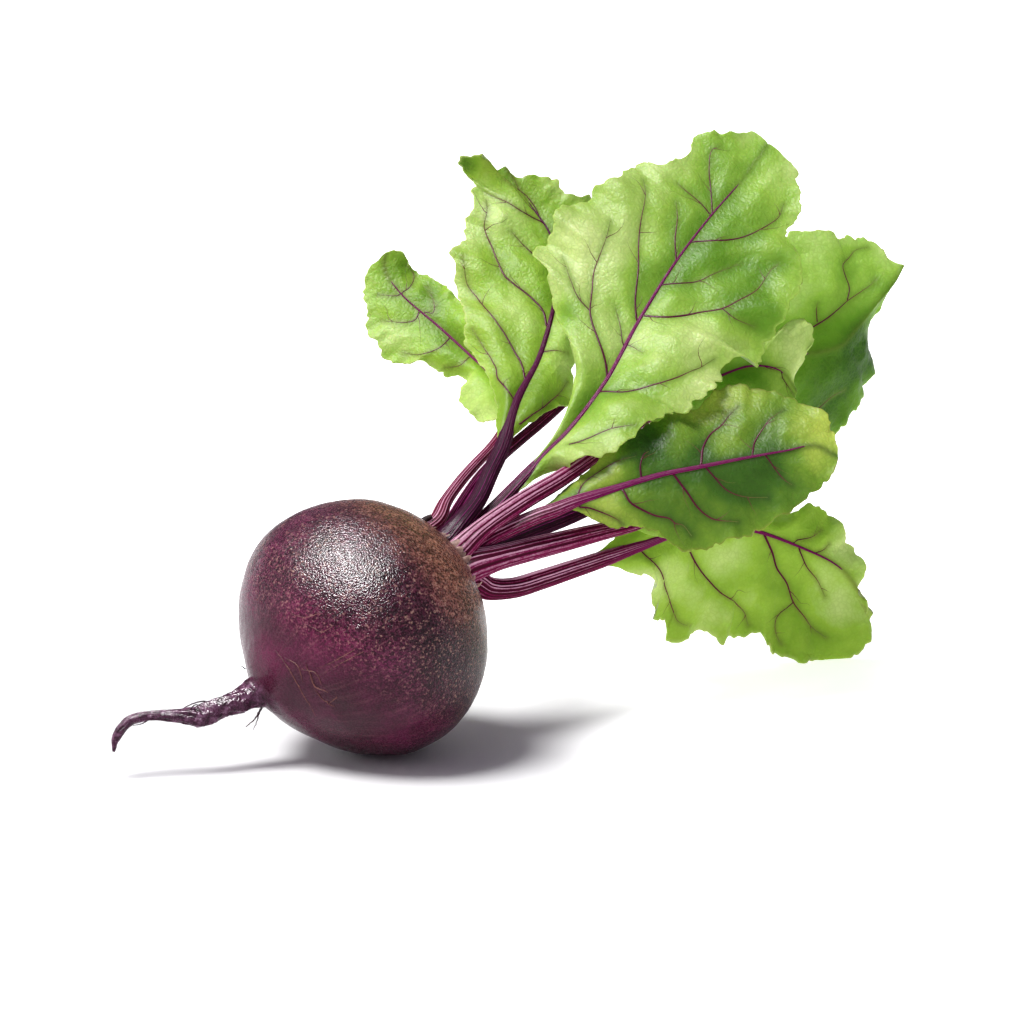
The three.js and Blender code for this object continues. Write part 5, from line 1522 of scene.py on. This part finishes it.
# %% Floor and world
floor_look, tree = new_look("white_paper")
spot = add(tree, "SeparateXYZ", [add(tree, "TexCoord", out="Object")]).node.outputs
to_right = add(tree, "MapRange", [spot["X"], 0.05, 0.09], **SMOOTHLY)
to_rear = add(tree, "MapRange", [spot["Y"], 0.05, 0.1], **SMOOTHLY)
glow_share = add(tree, "Math", [to_right, to_rear], operation="MAXIMUM")
glow = add(tree, "Math", [glow_share, 0.75, 0], **SUM)
add(tree, "OutputMaterial", {"Surface": add(tree, "BsdfPrincipled", {
    "Base Color": "#f8f8f8", "Roughness": 0.9, "Specular IOR Level": 0.1, "Emission Color": "#ffffff",
    "Emission Strength": glow})})
floor_mesh = bpy.data.meshes.new("floor")
floor_mesh.from_pydata([(-12, -3, 0), (12, -3, 0), (12, 30, 0), (-12, 30, 0)], [], [(0, 1, 2, 3)])
floor_mesh.materials.append(floor_look)
floor = bpy.data.objects.new("floor", floor_mesh)
bpy.context.collection.objects.link(floor)

world = bpy.data.worlds.new("white_room")
world.use_nodes = True
world.node_tree.nodes["Background"].inputs["Color"].default_value = linear("#f2ebff")
world.node_tree.nodes["Background"].inputs["Strength"].default_value = 0.24
bpy.context.scene.world = world
bpy.context.scene.view_settings.view_transform = "Standard"
print("floor:", floor.name, "world:", world.name)

# %% [markdown]
# The key light is a sun, so that its shadow is as soft everywhere, and the two disks are near the root,
# because a disk's distance and width set how large its reflection is.

# %% Lamps
LIT_SPOT = Vector((0.05, 0.03, 0.06))


def lamp(name, kind, spot, size, power):
    """A lamp that looks at the plant: a soft sun (its size an angle) or a disk (its size a diameter)."""
    data = bpy.data.lights.new(name, kind)
    data.energy = power
    if kind == "SUN":
        data.angle = math.radians(size)
    else:
        data.shape = "DISK"
        data.size = size
    made = bpy.data.objects.new(name, data)
    bpy.context.collection.objects.link(made)
    made.location = spot
    made.rotation_euler = (LIT_SPOT - Vector(spot)).to_track_quat("-Z", "Y").to_euler()
    return made


lamp("key_lamp", "SUN", (-0.42, -0.16, 1.0), 24, 3.4)
lamp("left_lamp", "AREA", (-1.1, -0.1, 0.5), 0.7, 3)
gloss_lamp = lamp("gloss_lamp", "AREA", (-0.22, -0.29, 1.0), 0.36, 105)
gloss_lamp.visible_diffuse = False
print("lamps:", len(bpy.data.lights))
